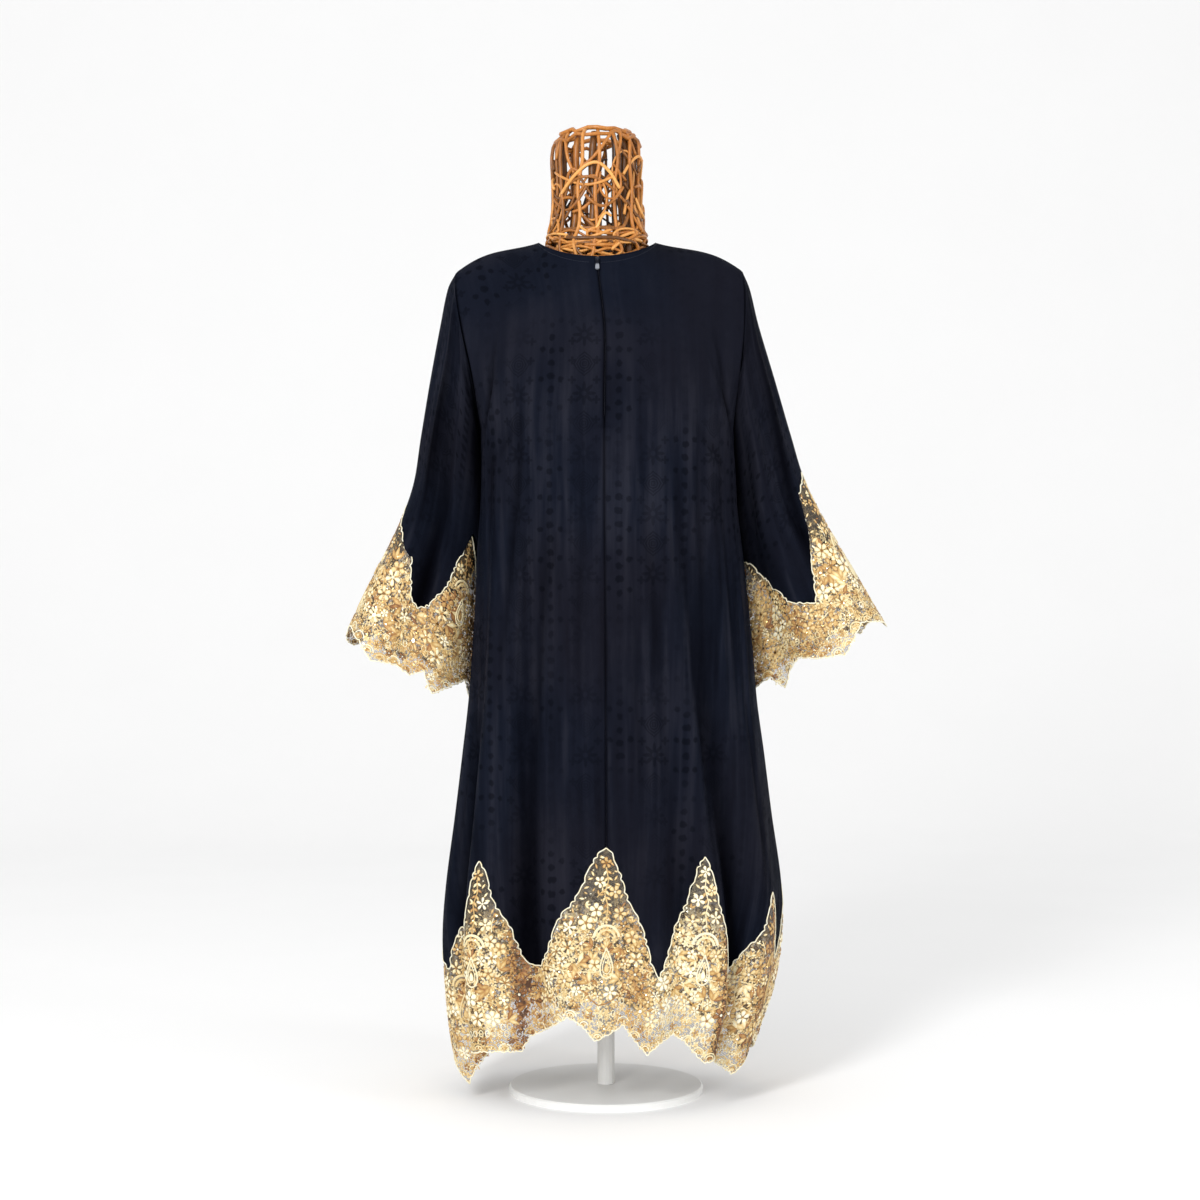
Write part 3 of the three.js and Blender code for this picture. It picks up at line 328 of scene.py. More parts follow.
def skirt(angle, z):
    """The body below the underarm: turn 0 is the front, 90 the +X side, 180 the back."""
    angle, z = same_shape(angle, z)
    c, s = cos_sin(angle)
    reach, depth = by_side(s, SECTIONS, "z", z), front_or_back(c >= 0, SECTIONS, z)
    out = unit(stack(s / reach, -c / depth, 0))
    along = stack(-out[..., 1], out[..., 0], 0)
    bend = smooth(CENTRE_FRONT, "z", "x", z) * np.maximum(0, c) ** CENTRE_BEND
    point = stack(reach * power(s, 2 / SQUARE) + bend, -depth * power(c, 2 / SQUARE), z)
    for fold, lean, share in folds_at(angle, z):
        point += out * (fold * share)[..., None] + along * (lean * share)[..., None]
    return point


def fold_hollow(angle, z):
    """How far the folds alone draw the skirt inwards, from 0 to about 1; it sets the strength of
    the painted shade in the folds.
    """
    return clamp01(-sum(depth * share for depth, _, share in folds_at(angle, z)) / FOLD_SHADE)


def shoulder_tip(angle):
    return (np.where(angle < 0, *pair) for pair in zip(TIP["minusX"], TIP["plusX"]))


def turns_from_middle(angle, back):
    """Degrees from the middle of the front or of the back, whichever is meant."""
    return np.where(back, 180 - np.abs(angle), np.abs(angle))


def top_line(angle, back):
    """The upper edge of the body: the neckline, then the shoulder seam out to the tip."""
    from_middle = turns_from_middle(angle, back)
    quarter = np.radians(90 * np.minimum(from_middle / NECK_COLUMNS, 1))
    middle_y, middle_z = (np.where(back, *pair) for pair in zip(NECK_BACK, NECK_FRONT))
    share = clamp01((from_middle - NECK_COLUMNS) / (90 - NECK_COLUMNS))
    tip_x, tip_z = shoulder_tip(angle)
    half = np.where(angle < 0, -NECK_HALF, NECK_HALF)
    bow = SHOULDER_RISE * np.sin(np.pi * share**SHOULDER_BOW)
    neckline = stack(
        NECK_X + half * np.sin(quarter),
        mix(SHOULDER_Y, middle_y, np.cos(quarter)),
        mix(NECK_SIDE, middle_z, np.abs(np.cos(quarter)) ** NECK_DIP),
    )
    seam = stack(mix(NECK_X + half, tip_x, share), SHOULDER_Y, mix(NECK_SIDE, tip_z, share) + bow)
    return np.where((from_middle <= NECK_COLUMNS)[..., None], neckline, seam)


def shoulder(turned, t, back=None):
    """The body between its upper edge (t 0) and the underarm's height (t 1)."""
    turned, t = same_shape(turned, t)
    angle = turn(0, turned)
    back = np.abs(angle) > 90 if back is None else np.broadcast_to(back, angle.shape)
    sign = np.where(angle < 0, -1, 1)
    from_middle = turns_from_middle(angle, back)
    rounded = mix(NECK_SHARE, 1, clamp01(from_middle / NECK_COLUMNS) ** 2)
    quarter = np.pi / 2 * t
    drop = 1 - np.cos(quarter)
    top, low = top_line(angle, back), skirt(angle, UNDERARM)
    z = mix(top[..., 2], low[..., 2], mix(t, drop, rounded))
    forward = mix(t**NECK_FORWARD, np.sin(quarter), rounded)
    tip_x, tip_z = shoulder_tip(angle)
    side_z = mix(tip_z, UNDERARM, drop)
    edge_x = np.where(angle < 0, *(smooth(ARMHOLE[side], "z", "x", side_z) for side in SIDES))
    side_x = mix(tip_x, sign * by_side(angle, SECTIONS, "z", UNDERARM), t)
    opened = ARMHOLE_DEPTH * np.maximum(0, np.sin(np.pi * t)) ** ARMHOLE_OPEN
    near_edge = clamp01(from_middle / 90) ** EDGE_REACH
    ends = mix(NECK_X, smooth(CENTRE_FRONT, "z", "x", UNDERARM), t)
    bend = np.where(back, 0, np.cos(np.radians(angle)) ** CENTRE_BEND)
    x = mix(top[..., 0], low[..., 0], t) + near_edge * (sign * edge_x - side_x)
    y = np.where(back, 1, -1) * opened - SHOULDER_Y * (np.sin(quarter) - t)
    return stack(
        x + bend * (smooth(CENTRE_FRONT, "z", "x", z) - ends),
        mix(top[..., 1], low[..., 1], forward) + near_edge * y,
        z,
    )


def reach_at(side, y, z):
    inside = np.maximum(1 - np.abs(y / front_or_back(y < 0, SECTIONS, z)) ** SQUARE, 0)
    return smooth(SECTIONS, "z", side, z) * inside ** (1 / SQUARE)


def sleeve_fold(side, around, f):
    grown = clamp01((f - SLEEVE_FOLD_START) / SLEEVE_FOLD_RUN) ** SLEEVE_FOLD_GROWTH
    rows = zip(*SLEEVE_FOLDS[side].values())
    return sum(depth * grown * bell(turn(at, around), width) for at, width, depth in rows)


def sleeve_oval(side, around, f, spread):
    rows = SLEEVES[side]
    c, s = cos_sin(around)

    def between(axis):
        outer, inner = (smooth(rows, "f", edge + axis, f) for edge in ("out", "in"))
        return (outer + inner) / 2 + (outer - inner) / 2 * c

    y, z = between("Y") - (smooth(rows, "f", "deep", f) + spread) * s, between("Z")
    clear = reach_at(side, y, np.minimum(z, UNDERARM)) + SLEEVE_CLEAR
    over = between("X") + spread * c - clear
    return stack(clear + (over + np.sqrt(over**2 + SLEEVE_EASE**2)) / 2, y, z)


def sleeve(side, around, f):
    """A sleeve from the armhole (f 0) to the cuff (1); round it, 0 is the outer edge, 90 front."""
    around, f = same_shape(np.asarray(around, float) % 360, f)
    t = np.where(around <= 180, around, 360 - around) / 180
    edge = shoulder(-90 if side == "minusX" else 90, t, around > 180)
    edge[..., 0] = np.abs(edge[..., 0]) - SLEEVE_TUCK
    seam = edge - sleeve_oval(side, around, np.zeros_like(f), np.zeros_like(f))
    joined = (1 - clamp01(f / SLEEVE_JOIN)) ** 2
    point = sleeve_oval(side, around, f, sleeve_fold(side, around, f)) + seam * joined[..., None]
    return point * (-1, 1, 1) if side == "minusX" else point


# ---- Creases that are finer than the solids' folds -----------------------------------------------

# Troughs and ridges of the body: place round it and height, how far they run and how wide they
# are, their tilt from the vertical, and their depth.
BODY_CREASES = table(
    "at z length width tilt depth",
    (0, 953, 15, 2.6, 84, -2.2),
    (1, 960, 20, 4, 80, 1.2),
    (3, 903, 17, 2.6, -84, -1.8),
    (-13, 806, 14, 2.8, 86, -2.0),
    (-13, 814, 20, 5, 80, 1.2),
    (-20, 770, 60, 9, 14, -2.2),
    (-62, 1040, 60, 8, 20, -4.0),
    (-68, 985, 60, 7, 34, -4.4),
    (-50, 930, 60, 10, 52, -2.6),
    (-56, 1010, 50, 7, 28, 2.4),
    (64, 1040, 60, 8, -18, -4.0),
    (69, 985, 56, 7, -36, -4.2),
    (52, 925, 60, 10, -54, -2.6),
    (57, 1010, 50, 7, -26, 2.4),
    (-30, 1060, 60, 12, 8, 1.6),
    (30, 1050, 60, 12, -8, 1.6),
    (-42, 800, 170, 8, 4, -4.2),
    (-53, 720, 190, 9, -3, 4.2),
    (-62, 760, 150, 7, -2, -3.6),
    (-33, 690, 170, 8, 3, 3.4),
    (-25, 640, 180, 7, 2, -3.4),
    (-17, 600, 210, 7, 1, 3.2),
    (-9, 700, 150, 6, 1, -2.4),
    (-66, 540, 140, 8, 0, 3.4),
    (16, 690, 190, 7, -2, -3.2),
    (23, 780, 170, 7, -3, 3.2),
    (31, 720, 190, 7, -2, -3.0),
    (40, 760, 180, 8, 3, -4.0),
    (48, 660, 190, 8, 1, 4.2),
    (57, 720, 170, 8, 2, -3.8),
    (66, 680, 160, 7, 1, 3.2),
    (9, 540, 170, 6, 0, -2.6),
    (34, 480, 150, 7, 1, -3.2),
    (62, 460, 140, 8, 0, -3.4),
    (-72, 430, 120, 7, 0, -3.2),
    (-38, 430, 110, 7, 2, 2.8),
    (110, 1020, 60, 9, 22, -3.6),
    (-112, 1024, 60, 9, -20, -3.6),
    (120, 900, 120, 9, 8, -3.2),
    (-124, 890, 120, 9, -6, 3.2),
    (134, 860, 150, 9, 3, 3.4),
    (-138, 840, 160, 9, -3, -3.4),
    (150, 780, 180, 8, 2, -3.6),
    (-152, 760, 180, 9, 0, 3.4),
    (166, 700, 190, 8, 1, 3.2),
    (-166, 660, 190, 8, 0, -3.4),
    (118, 600, 160, 8, 0, 3.4),
    (-118, 560, 160, 8, 2, -3.2),
    (136, 480, 140, 7, 0, -3.2),
    (-138, 460, 140, 7, 0, 3.2),
    (178, 500, 170, 7, 0, -2.8),
)
SKIRT_MM = 3.6  # millimetres of cloth for each degree round the body

# The same for each sleeve: place round it and along it.
SLEEVE_CREASES = {
    "minusX": table(
        "at f length width tilt depth",
        (57, 0.46, 190, 9, -2, -9.0),
        (88, 0.42, 200, 15, 3, 7.0),
        (126, 0.42, 170, 22, 6, -14.0),
        (150, 0.62, 60, 9, 10, 4.0),
        (34, 0.4, 130, 9, 0, 3.0),
        (74, 0.06, 40, 8, 14, 3.0),
        (104, 0.14, 44, 7, 30, -3.6),
        (96, 0.66, 60, 8, 16, -4.0),
        (250, 0.2, 80, 10, -16, -4.0),
        (290, 0.36, 120, 10, -4, 4.6),
        (232, 0.5, 100, 12, -8, -4.4),
        (320, 0.5, 130, 10, 2, -3.6),
    ),
    "plusX": table(
        "at f length width tilt depth",
        (50, 0.44, 180, 9, 2, -6.5),
        (76, 0.46, 190, 12, 2, 6.0),
        (100, 0.52, 120, 8, 4, -5.4),
        (132, 0.36, 150, 20, 8, -11.0),
        (118, 0.62, 60, 8, 12, 3.6),
        (32, 0.5, 120, 9, 0, 3.0),
        (76, 0.06, 40, 8, 14, 3.0),
        (108, 0.14, 44, 7, 30, -3.6),
        (66, 0.68, 46, 7, -18, -3.4),
        (252, 0.22, 80, 10, -16, -4.0),
        (288, 0.4, 120, 10, -6, 4.4),
        (230, 0.52, 100, 12, -8, -4.4),
        (322, 0.55, 130, 10, 2, -3.6),
    ),
}
SLEEVE_MM = 1.45  # millimetres of cloth for each degree round a sleeve
SLEEVE_LENGTH = 580  # millimetres of cloth along a sleeve from f 0 to 1


def creased(rows, key, across_mm, along_mm, at, along):
    """How far the creases push the cloth outwards at places round (at) and along it."""
    total = np.zeros(np.broadcast(at, along).shape)
    names = ("at", key, "length", "width", "tilt", "depth")
    for place, height, length, width, tilt, depth in zip(*(rows[name] for name in names)):
        across, down = turn(place, at) * across_mm, (along - height) * along_mm
        c, s = cos_sin(tilt)
        over, run = across * c - down * s, across * s + down * c
        total += depth * bell(over, width) * bell(run, length)
    return total


def normals_of(points):
    """Outward directions of a grid of points in columns and rows."""
    return unit(np.cross(np.gradient(points, axis=1), np.gradient(points, axis=0)))


def columns_between(start, end, step, corners):
    """Places from start to end that hit each given corner and are about a step apart."""
    stops = sorted({c for c in corners if start + 0.3 < c < end - 0.3})
    marks = [start, *stops, end]
    parts = [
        np.linspace(a, b, max(1, round((b - a) / step)), endpoint=False)
        for a, b in zip(marks, marks[1:])
    ]
    return np.append(np.concatenate(parts), end)


# ---- Meshes --------------------------------------------------------------------------------------


def linked(name, data):
    made = bpy.data.objects.new(name, data)
    bpy.context.scene.collection.objects.link(made)
    return made


def new_mesh(name, points, faces, materials, values=None, uv=None, face_material=None):
    """An object from points in millimetres and lists of face corners."""
    mesh = bpy.data.meshes.new(name)
    mesh.from_pydata((np.asarray(points) * MM).tolist(), [], [f for g in faces for f in g.tolist()])
    for key, data in (values or {}).items():
        attribute = mesh.attributes.new(key, "FLOAT", "POINT")
        attribute.data.foreach_set("value", np.asarray(data, np.float32))
    if uv is not None:
        corners = np.zeros(len(mesh.loops), np.int32)
        mesh.loops.foreach_get("vertex_index", corners)
        layer = mesh.uv_layers.new(name="cloth")
        layer.data.foreach_set("uv", np.asarray(uv, np.float32)[corners].ravel())
    for material in materials:
        mesh.materials.append(material)
    if face_material is not None:
        mesh.polygons.foreach_set("material_index", np.asarray(face_material, np.int32))
    mesh.polygons.foreach_set("use_smooth", np.ones(len(mesh.polygons), bool))
    mesh.update()
    return linked(name, mesh)


def dressed(made, slot, *replaced, body="tunic"):
    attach(made, body)
    if replaced:
        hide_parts(*replaced)
    return made


def grid_faces(columns, rows, closed=False):
    """Quads between neighbouring points of a grid, turned to face outwards."""
    i = np.arange(columns if closed else columns - 1)[:, None]
    j = np.arange(rows - 1)[None, :]
    a, b = i * rows + j, (i + 1) % columns * rows + j
    return np.stack([a, b, b + 1, a + 1], axis=-1).reshape(-1, 4)


def cloth_piece(name, points, uv, material, thickness, values):
    made = new_mesh(
        name, points.reshape(-1, 3), [grid_faces(*points.shape[:2])], [material],
        {key: data.ravel() for key, data in values.items()}, uv=uv.reshape(-1, 2),
    )
    if thickness:
        shell = made.modifiers.new("thickness", "SOLIDIFY")
        shell.thickness, shell.offset = thickness * MM, 0
    return made


def running(points, axis, start):
    """Distance along a grid of points from its start column or row."""
    steps = np.linalg.norm(np.diff(points, axis=axis), axis=-1)
    pad = [(0, 0), (0, 0)]
    pad[axis] = (1, 0)
    total = np.cumsum(np.pad(steps, pad), axis=axis)
    return total - np.take(total, [start], axis=axis)


def tube(line, radius, sides=6, closed=False):
    """Points, faces and distance along for a round cord that follows a line of points."""
    line = np.asarray(line, float)
    count = len(line)
    ahead = ahead_of(line, closed)
    across = np.cross(ahead, [0, 0, 1.0])
    upright = np.linalg.norm(across, axis=1, keepdims=True) < 0.2
    across = unit(np.where(upright, np.cross(ahead, [0, 1.0, 0]), across))
    for k in range(1, count):
        if across[k] @ across[k - 1] < 0:
            across[k] *= -1
        across[k] = across[k] * 0.4 + across[k - 1] * 0.6
        across[k] -= ahead[k] * (across[k] @ ahead[k])
        across[k] /= np.linalg.norm(across[k])
    other = np.cross(ahead, across)
    c, s = (part[None, :, None] for part in cos_sin(np.arange(sides) * 360 / sides))
    ring = across[:, None] * c + other[:, None] * s
    points = line[:, None] + ring * np.broadcast_to(radius, count)[:, None, None]
    i = np.arange(count if closed else count - 1)[:, None]
    j = np.arange(sides)[None, :]
    a, b = i * sides + j, i * sides + (j + 1) % sides
    c, d = (i + 1) % count * sides + (j + 1) % sides, (i + 1) % count * sides + j
    faces = [np.stack([a, b, c, d], axis=-1).reshape(-1, 4)]
    if not closed:
        faces.append(np.array([j[0, ::-1], j[0] + (count - 1) * sides]))
    return points.reshape(-1, 3), faces, np.repeat(along_line(line), sides)


class Gathered:
    """Many small shapes that become one mesh."""

    def __init__(self):
        self.points, self.faces, self.tone, self.thread, self.kind = [], {}, [], [], {}
        self.count = 0

    def add(self, points, faces, tone, thread=0.0, kind=0):
        size = len(points)
        self.points.append(points)
        for group in faces:
            corners = group.shape[1]
            self.faces.setdefault(corners, []).append(group + self.count)
            self.kind.setdefault(corners, []).append(np.full(len(group), kind))
        self.tone.append(np.broadcast_to(tone, size))
        self.thread.append(np.broadcast_to(thread, size))
        self.count += size

    def cord(self, line, radius, sides, tone, closed=False):
        points, faces, length = tube(line, radius, sides, closed)
        self.add(points, faces, tone, length)

    def mesh(self, name, materials, place=lambda points: points):
        values = {"tone": np.concatenate(self.tone), "thread": np.concatenate(self.thread)}
        faces, kinds = (
            [np.concatenate(parts[c]) for c in sorted(parts)] for parts in (self.faces, self.kind)
        )
        points = place(np.concatenate(self.points))
        return new_mesh(name, points, faces, materials, values, face_material=np.concatenate(kinds))


# ---- Materials -----------------------------------------------------------------------------------


def operator(operation):
    return lambda wire, other: wire.graph.math(operation, wire, other)


class Wire:
    """An output socket that can be used in sums."""

    def __init__(self, graph, socket):
        self.graph, self.socket = graph, socket

    __add__ = __radd__ = operator("ADD")
    __mul__ = __rmul__ = operator("MULTIPLY")
    __sub__, __truediv__ = operator("SUBTRACT"), operator("DIVIDE")

    def __rsub__(self, other):
        return self.graph.math("SUBTRACT", other, self)


def from_srgb(r, g, b):
    return tuple(((v / 255 + 0.055) / 1.055) ** 2.4 if v > 10 else v / 3294.6 for v in (r, g, b))


class Graph:
    """A material's node tree, written as a sum of its parts. Its colours are sRGB, 0 to 255."""

    def __init__(self, name, **settings):
        self.material = bpy.data.materials.new(name)
        self.material.use_nodes = True
        self.tree = self.material.node_tree
        self.shader = next(n for n in self.tree.nodes if n.type == "BSDF_PRINCIPLED")
        self.finish(**settings)

    def set(self, node, key, value):
        if isinstance(value, Wire):
            self.tree.links.new(value.socket, node.inputs[key])
        else:
            node.inputs[key].default_value = value

    def node(self, kind, output=0, options=(), inputs=()):
        """An output of a new node, from its settings and its inputs by name or number."""
        made = self.tree.nodes.new("ShaderNode" + kind)
        for key, value in dict(options).items():
            setattr(made, key, value)
        for key, value in dict(inputs).items():
            self.set(made, key, value)
        return Wire(self, made.outputs[output])

    def math(self, operation, *values):
        return self.node("Math", 0, {"operation": operation}, enumerate(values))

    def distance(self, a, b):
        return self.math("SQRT", a * a + b * b)

    def most(self, first, *others):
        for other in others:
            first = self.math("MAXIMUM", first, other)
        return first

    def below(self, value, limit, soft):
        """1 where the value is under the limit, 0 above it, with a soft edge."""
        ends = {"From Min": limit - soft, "From Max": limit + soft, "To Min": 1.0, "To Max": 0.0}
        options = {"interpolation_type": "SMOOTHSTEP"}
        return self.node("MapRange", 0, options, {"Value": value, **ends})

    def ramp(self, value, *stops):
        made = self.node("ValToRGB", "Color", (), {"Fac": value})
        ramp = made.socket.node.color_ramp
        while len(ramp.elements) < len(stops):
            ramp.elements.new(0.5)
        for element, (place, *colour) in zip(ramp.elements, stops):
            element.position, element.color = place, (*from_srgb(*colour), 1)
        return made

    def blend(self, share, *colours):
        ends = [c if isinstance(c, Wire) else (*from_srgb(*c), 1) for c in colours]
        return self.node("Mix", 2, {"data_type": "RGBA"}, {0: share, 6: ends[0], 7: ends[1]})

    def here(self, output="Object"):
        return self.node("TexCoord", output)

    def cloth(self):
        """Millimetres round and up the cloth."""
        return self.node("UVMap", 0, {"uv_map": "cloth"})

    def noise(self, scale, detail=2.0, where=None, rough=0.5):
        inputs = {"Vector": where or self.here(), "Scale": scale, "Detail": detail}
        return self.node("TexNoise", "Fac", (), {**inputs, "Roughness": rough})

    def attribute(self, name):
        return self.node("Attribute", "Fac", {"attribute_name": name})

    def parts(self, vector):
        return [self.node("SeparateXYZ", k, (), {0: vector}) for k in range(3)]

    def vectors(self, operation, a, b):
        return self.node("VectorMath", 0, {"operation": operation}, {0: a, 1: b})

    def bump(self, height, distance, strength):
        inputs = {"Height": height, "Distance": distance, "Strength": strength}
        self.set(self.shader, "Normal", self.node("Bump", 0, (), inputs))

    def finish(self, **inputs):
        for key, value in inputs.items():
            self.set(self.shader, key.replace("_", " "), value)
        return self.material


REPEAT_MM = 97.0  # width of the jacquard's repeat: a column of dots, then one of stars
FIRST_COLUMN = 28.5
STAR_MM = 84


def jacquard():
    """Dark navy cloth with columns of dots, stars and leafy diamonds woven tone on tone."""
    g = Graph(
        "navy_jacquard", Sheen_Weight=0.003, Sheen_Roughness=0.4, Specular_IOR_Level=0.012,
        Sheen_Tint=(*from_srgb(150, 165, 205), 1),
    )
    where = g.cloth()
    across, along, _ = g.parts(where)

    def repeated(value, period):
        share = value * (1 / period)
        return (share - g.math("FLOOR", share) - 0.5) * period

    def wave(value):
        return g.math("COSINE", value)

    x = g.math("ABSOLUTE", repeated(across + FIRST_COLUMN, REPEAT_MM))
    worn, drift = (g.noise(260, 2) - 0.5) * 5, (g.noise(22, 1) - 0.5) * 9
    dots = g.below(g.distance(x + drift, repeated(along + drift, 19)) + worn, 4.8, 1.2)
    flank = g.below(g.distance(x - 14.5, repeated(along - drift, 42)) + worn, 4.0, 1.2)
    far, star_y = x - REPEAT_MM / 2, repeated(along, STAR_MM)
    leaf_y = repeated(along + STAR_MM / 2, STAR_MM)
    rays = wave(g.math("ARCTAN2", star_y, far) * 8)
    star = g.below(g.distance(far, star_y), rays * 5 + 12, 1.6)
    star = star * (1 - g.below(g.distance(far, star_y), 3.5, 1.0))
    slant = g.math("ABSOLUTE", far) * 1.1 + g.math("ABSOLUTE", leaf_y)
    veins = g.math("SINE", slant * 1.3 + wave(g.math("ARCTAN2", leaf_y, far) * 4) * 1.6)
    leafy = g.below(slant, 20, 1.2) * g.below(veins, 0.2, 0.4)
    side, sprig_y = x - 31, repeated(along + 9, 28)
    petals = g.math("ABSOLUTE", wave(g.math("ARCTAN2", sprig_y, side) * 2))
    sprig = g.below(g.distance(side, sprig_y), petals * 4 + 2, 0.8)
    motif = g.most(g.most(dots, flank) * 0.76, g.most(star, leafy, sprig) * 0.55)
    shown = 1 - g.below(g.noise(6.5, 1), 0.52, 0.1)  # the motifs show in patches
    motif = motif * (shown * 0.8 + 0.16)
    broad = g.noise(1.0, 2, g.vectors("MULTIPLY", where, (0.045, 0.004, 1.0)))
    fine = g.noise(1.0, 3, g.vectors("MULTIPLY", where, (0.13, 0.008, 1.0)), 0.6)
    streak_and_sheen, slub = broad * 0.7 + fine * 0.3, g.noise(160, 3)
    # Painted sheen: in the base colour the streaks are pale vertical sheen stripes, kept faint on
    # the upper bodice; in the bump and roughness they are ripples of the cloth.
    calm = g.below(along, 90, 80) * 0.75 + 0.25
    shade = ((streak_and_sheen - 0.5) * calm + 0.5) * 0.7 + g.noise(6, 2) * 0.3
    ground = g.ramp(shade, (0.36, 10, 13, 22), (0.5, 18, 22, 33), (0.63, 34, 36, 46))
    ground = g.blend(g.below(g.noise(4, 1), 0.5, 0.15) * 0.4, ground, (27, 25, 31))
    colour = g.blend(motif * 0.8, ground, (6, 8, 14))
    twill = g.math("SINE", (across + along) * 9.0)
    g.bump(twill * 0.3 + motif * 1.0 + slub * 0.8 + streak_and_sheen * 3, 0.00018, 0.9)
    # Painted shade: the base colour is darkened to near black in the creases, folds, seams, zip and
    # armholes that the cloth's attribute marks.
    return g.finish(
        Base_Color=g.blend(g.attribute("painted_shade"), colour, (2, 2, 5)),
        Roughness=0.66 + motif * 0.2 + (slub - 0.5) * 0.2 - (streak_and_sheen - 0.5) * 0.4,
    )


THREAD_TONES = (
    (0.0, 84, 54, 34), (0.22, 160, 108, 60), (0.45, 204, 163, 97),
    (0.62, 234, 206, 146), (0.8, 252, 238, 194), (1.0, 255, 251, 230),
)


def lace_net():
    """Fine hexagonal net with flat flowers worked into it where the lace is dense."""
    g = Graph("lace_net")
    where = g.cloth()
    u, v = (wire * 2.6 for wire in g.parts(where)[:2])
    waves = [g.math("COSINE", u * a + v * b) for a, b in ((1.0, 0.0), (0.5, 0.866), (0.5, -0.866))]
    lines = g.below(waves[0] + waves[1] + waves[2], -0.35, 0.5)
    dense = g.attribute("dense")

    def worked(scale, petals, reach):
        """Flat flowers at scattered places: how much thread is there, and its tone."""
        inputs = {"Vector": where, "Scale": scale}
        cells = g.node("TexVoronoi", "Position", {"voronoi_dimensions": "2D"}, inputs)
        x, y = (wire * scale for wire in g.parts(g.vectors("SUBTRACT", where, cells))[:2])
        r = g.distance(x, y)
        pick = g.parts(Wire(g, cells.socket.node.outputs["Color"]))[0]
        turned = g.math("ARCTAN2", y, x) * (petals / 2) + pick * 6.0
        edge = g.math("ABSOLUTE", g.math("COSINE", turned)) * 0.3 + reach
        return g.below(r, edge, 0.04), pick * 0.3 + (r / edge) * 0.25

    big, big_tone = worked(0.085, 5, 0.14)
    small, small_tone = worked(0.2, 4, 0.08)
    covered = g.most(big, small) * dense
    shade = g.attribute("tone") - 0.3 + g.most(big * big_tone, small * small_tone)
    tint = g.blend(g.noise(30), (76, 66, 54), (112, 94, 74))
    # Painted shade: where the lace is open the net is darker and more opaque, standing in for the
    # shaded inside seen through it.
    tint = g.blend((1 - dense) * 0.8, tint, (38, 35, 31))
    g.bump(covered + lines * 0.2, 0.0004, 0.8)
    return g.finish(
        Base_Color=g.blend(covered, tint, g.ramp(shade, *THREAD_TONES)),
        Alpha=g.most(0.28 + lines * 0.3 + (1 - dense) * 0.42, covered),
        Roughness=0.6 - covered * 0.1,
    )


def gold_thread(name, metallic, rough):
    """Satin-stitched gold thread, whose stitches run across each leaf."""
    g = Graph(name, Metallic=metallic, Specular_IOR_Level=0.5)
    stitches = g.math("SINE", g.attribute("thread") * 9.0)
    g.bump(stitches * 0.5 + g.noise(900, 2) * 0.5, 0.0002, 0.8)
    tone = g.attribute("tone") + (g.noise(260, 2) - 0.5) * 0.2
    return g.finish(Base_Color=g.ramp(tone, *THREAD_TONES), Roughness=rough + stitches * 0.06)


def cane():
    """Varnished rattan: long grain, paler ridges and dark pores."""
    g = Graph("rattan_cane", Coat_Weight=0.35, Coat_Roughness=0.25, Specular_IOR_Level=0.3)
    grain = g.noise(420, 4, g.vectors("MULTIPLY", g.here(), (1.0, 1.0, 0.25)), 0.6)
    tone = g.attribute("tone") * 0.9 + grain * 0.35 + g.noise(38, 2) * 0.25 - 0.44
    stops = (0.1, 44, 25, 10), (0.3, 112, 68, 22), (0.5, 182, 113, 42), (0.8, 238, 174, 96)
    g.bump(grain, 0.0006, 0.6)
    return g.finish(Base_Color=g.ramp(tone, *stops), Roughness=0.34 + grain * 0.3)


def steel():
    g = Graph("zip_steel", Metallic=1.0)
    brushed = g.noise(1400, 3)
    g.bump(brushed, 0.00005, 0.4)
    colour = g.blend(brushed, (34, 36, 44), (70, 73, 82))
    return g.finish(Base_Color=colour, Roughness=0.3 + brushed * 0.2)


def lacquer_with_painted_glint(name):
    """A dark lacquered pull tab with a painted glint: a band of pale metal colour across its lower
    middle.
    """
    g = Graph("lacquer_with_painted_glint", Metallic=0.9)
    low, high = (corner[2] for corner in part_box(name))
    z = g.parts(g.here())[2]
    # Painted glint: the lower middle of the tab gets pale bare-metal colour, stopping short of its
    # very tip.
    painted_glint = g.below(z + (g.noise(500, 2) - 0.5) * 0.004, mix(low, high, 0.52), 0.0015)
    painted_glint = painted_glint * (1 - g.below(z, low + 0.0022, 0.0012) * 0.7)
    g.bump(g.noise(1400, 3), 0.00005, 0.4)
    colour = g.blend(painted_glint, (26, 28, 36), (150, 154, 162))
    return g.finish(Base_Color=colour, Roughness=0.5 - painted_glint * 0.15)


def painted(name, colour, shadow, rough):
    g = Graph(name)
    peel, wear = g.noise(700, 2), g.noise(14, 3)
    g.bump(peel, 0.00008, 0.3)
    return g.finish(Base_Color=g.blend(wear * 0.4, colour, shadow), Roughness=rough + peel * 0.15)


def woven_tape():
    g = Graph("zip_tape_weave", Specular_IOR_Level=0.05, Roughness=0.8)
    inputs = {"Vector": g.here(), "Scale": 500.0}
    ribs = g.node("TexWave", "Fac", {"bands_direction": "Z"}, inputs)
    g.bump(ribs, 0.0002, 0.6)
    return g.finish(Base_Color=g.blend(ribs, (4, 5, 9), (10, 12, 18)))


JACQUARD = jacquard()
LACE_NET = lace_net()
GOLD = gold_thread("gold_embroidery", 0.12, 0.42)
SEQUIN = gold_thread("gold_sequins", 0.8, 0.25)
PALE_CORD = gold_thread("pale_gold_cord", 0.1, 0.5)
CANE = cane()
STEEL = steel()
PAINT = painted("stand_paint", (238, 238, 236), (214, 214, 212), 0.35)
NAVY_THREAD = painted("navy_thread", (26, 31, 48), (14, 18, 30), 0.6)

# ---- Camera and studio ---------------------------------------------------------------------------

DISTANCE, HALF_VIEW = 3.2, 0.87  # metres: how far the camera is, and half of what it sees
CAMERA_X, CAMERA_Z = -0.0087, 0.7105
STUDIO_WHITES = 246.99, 249.31


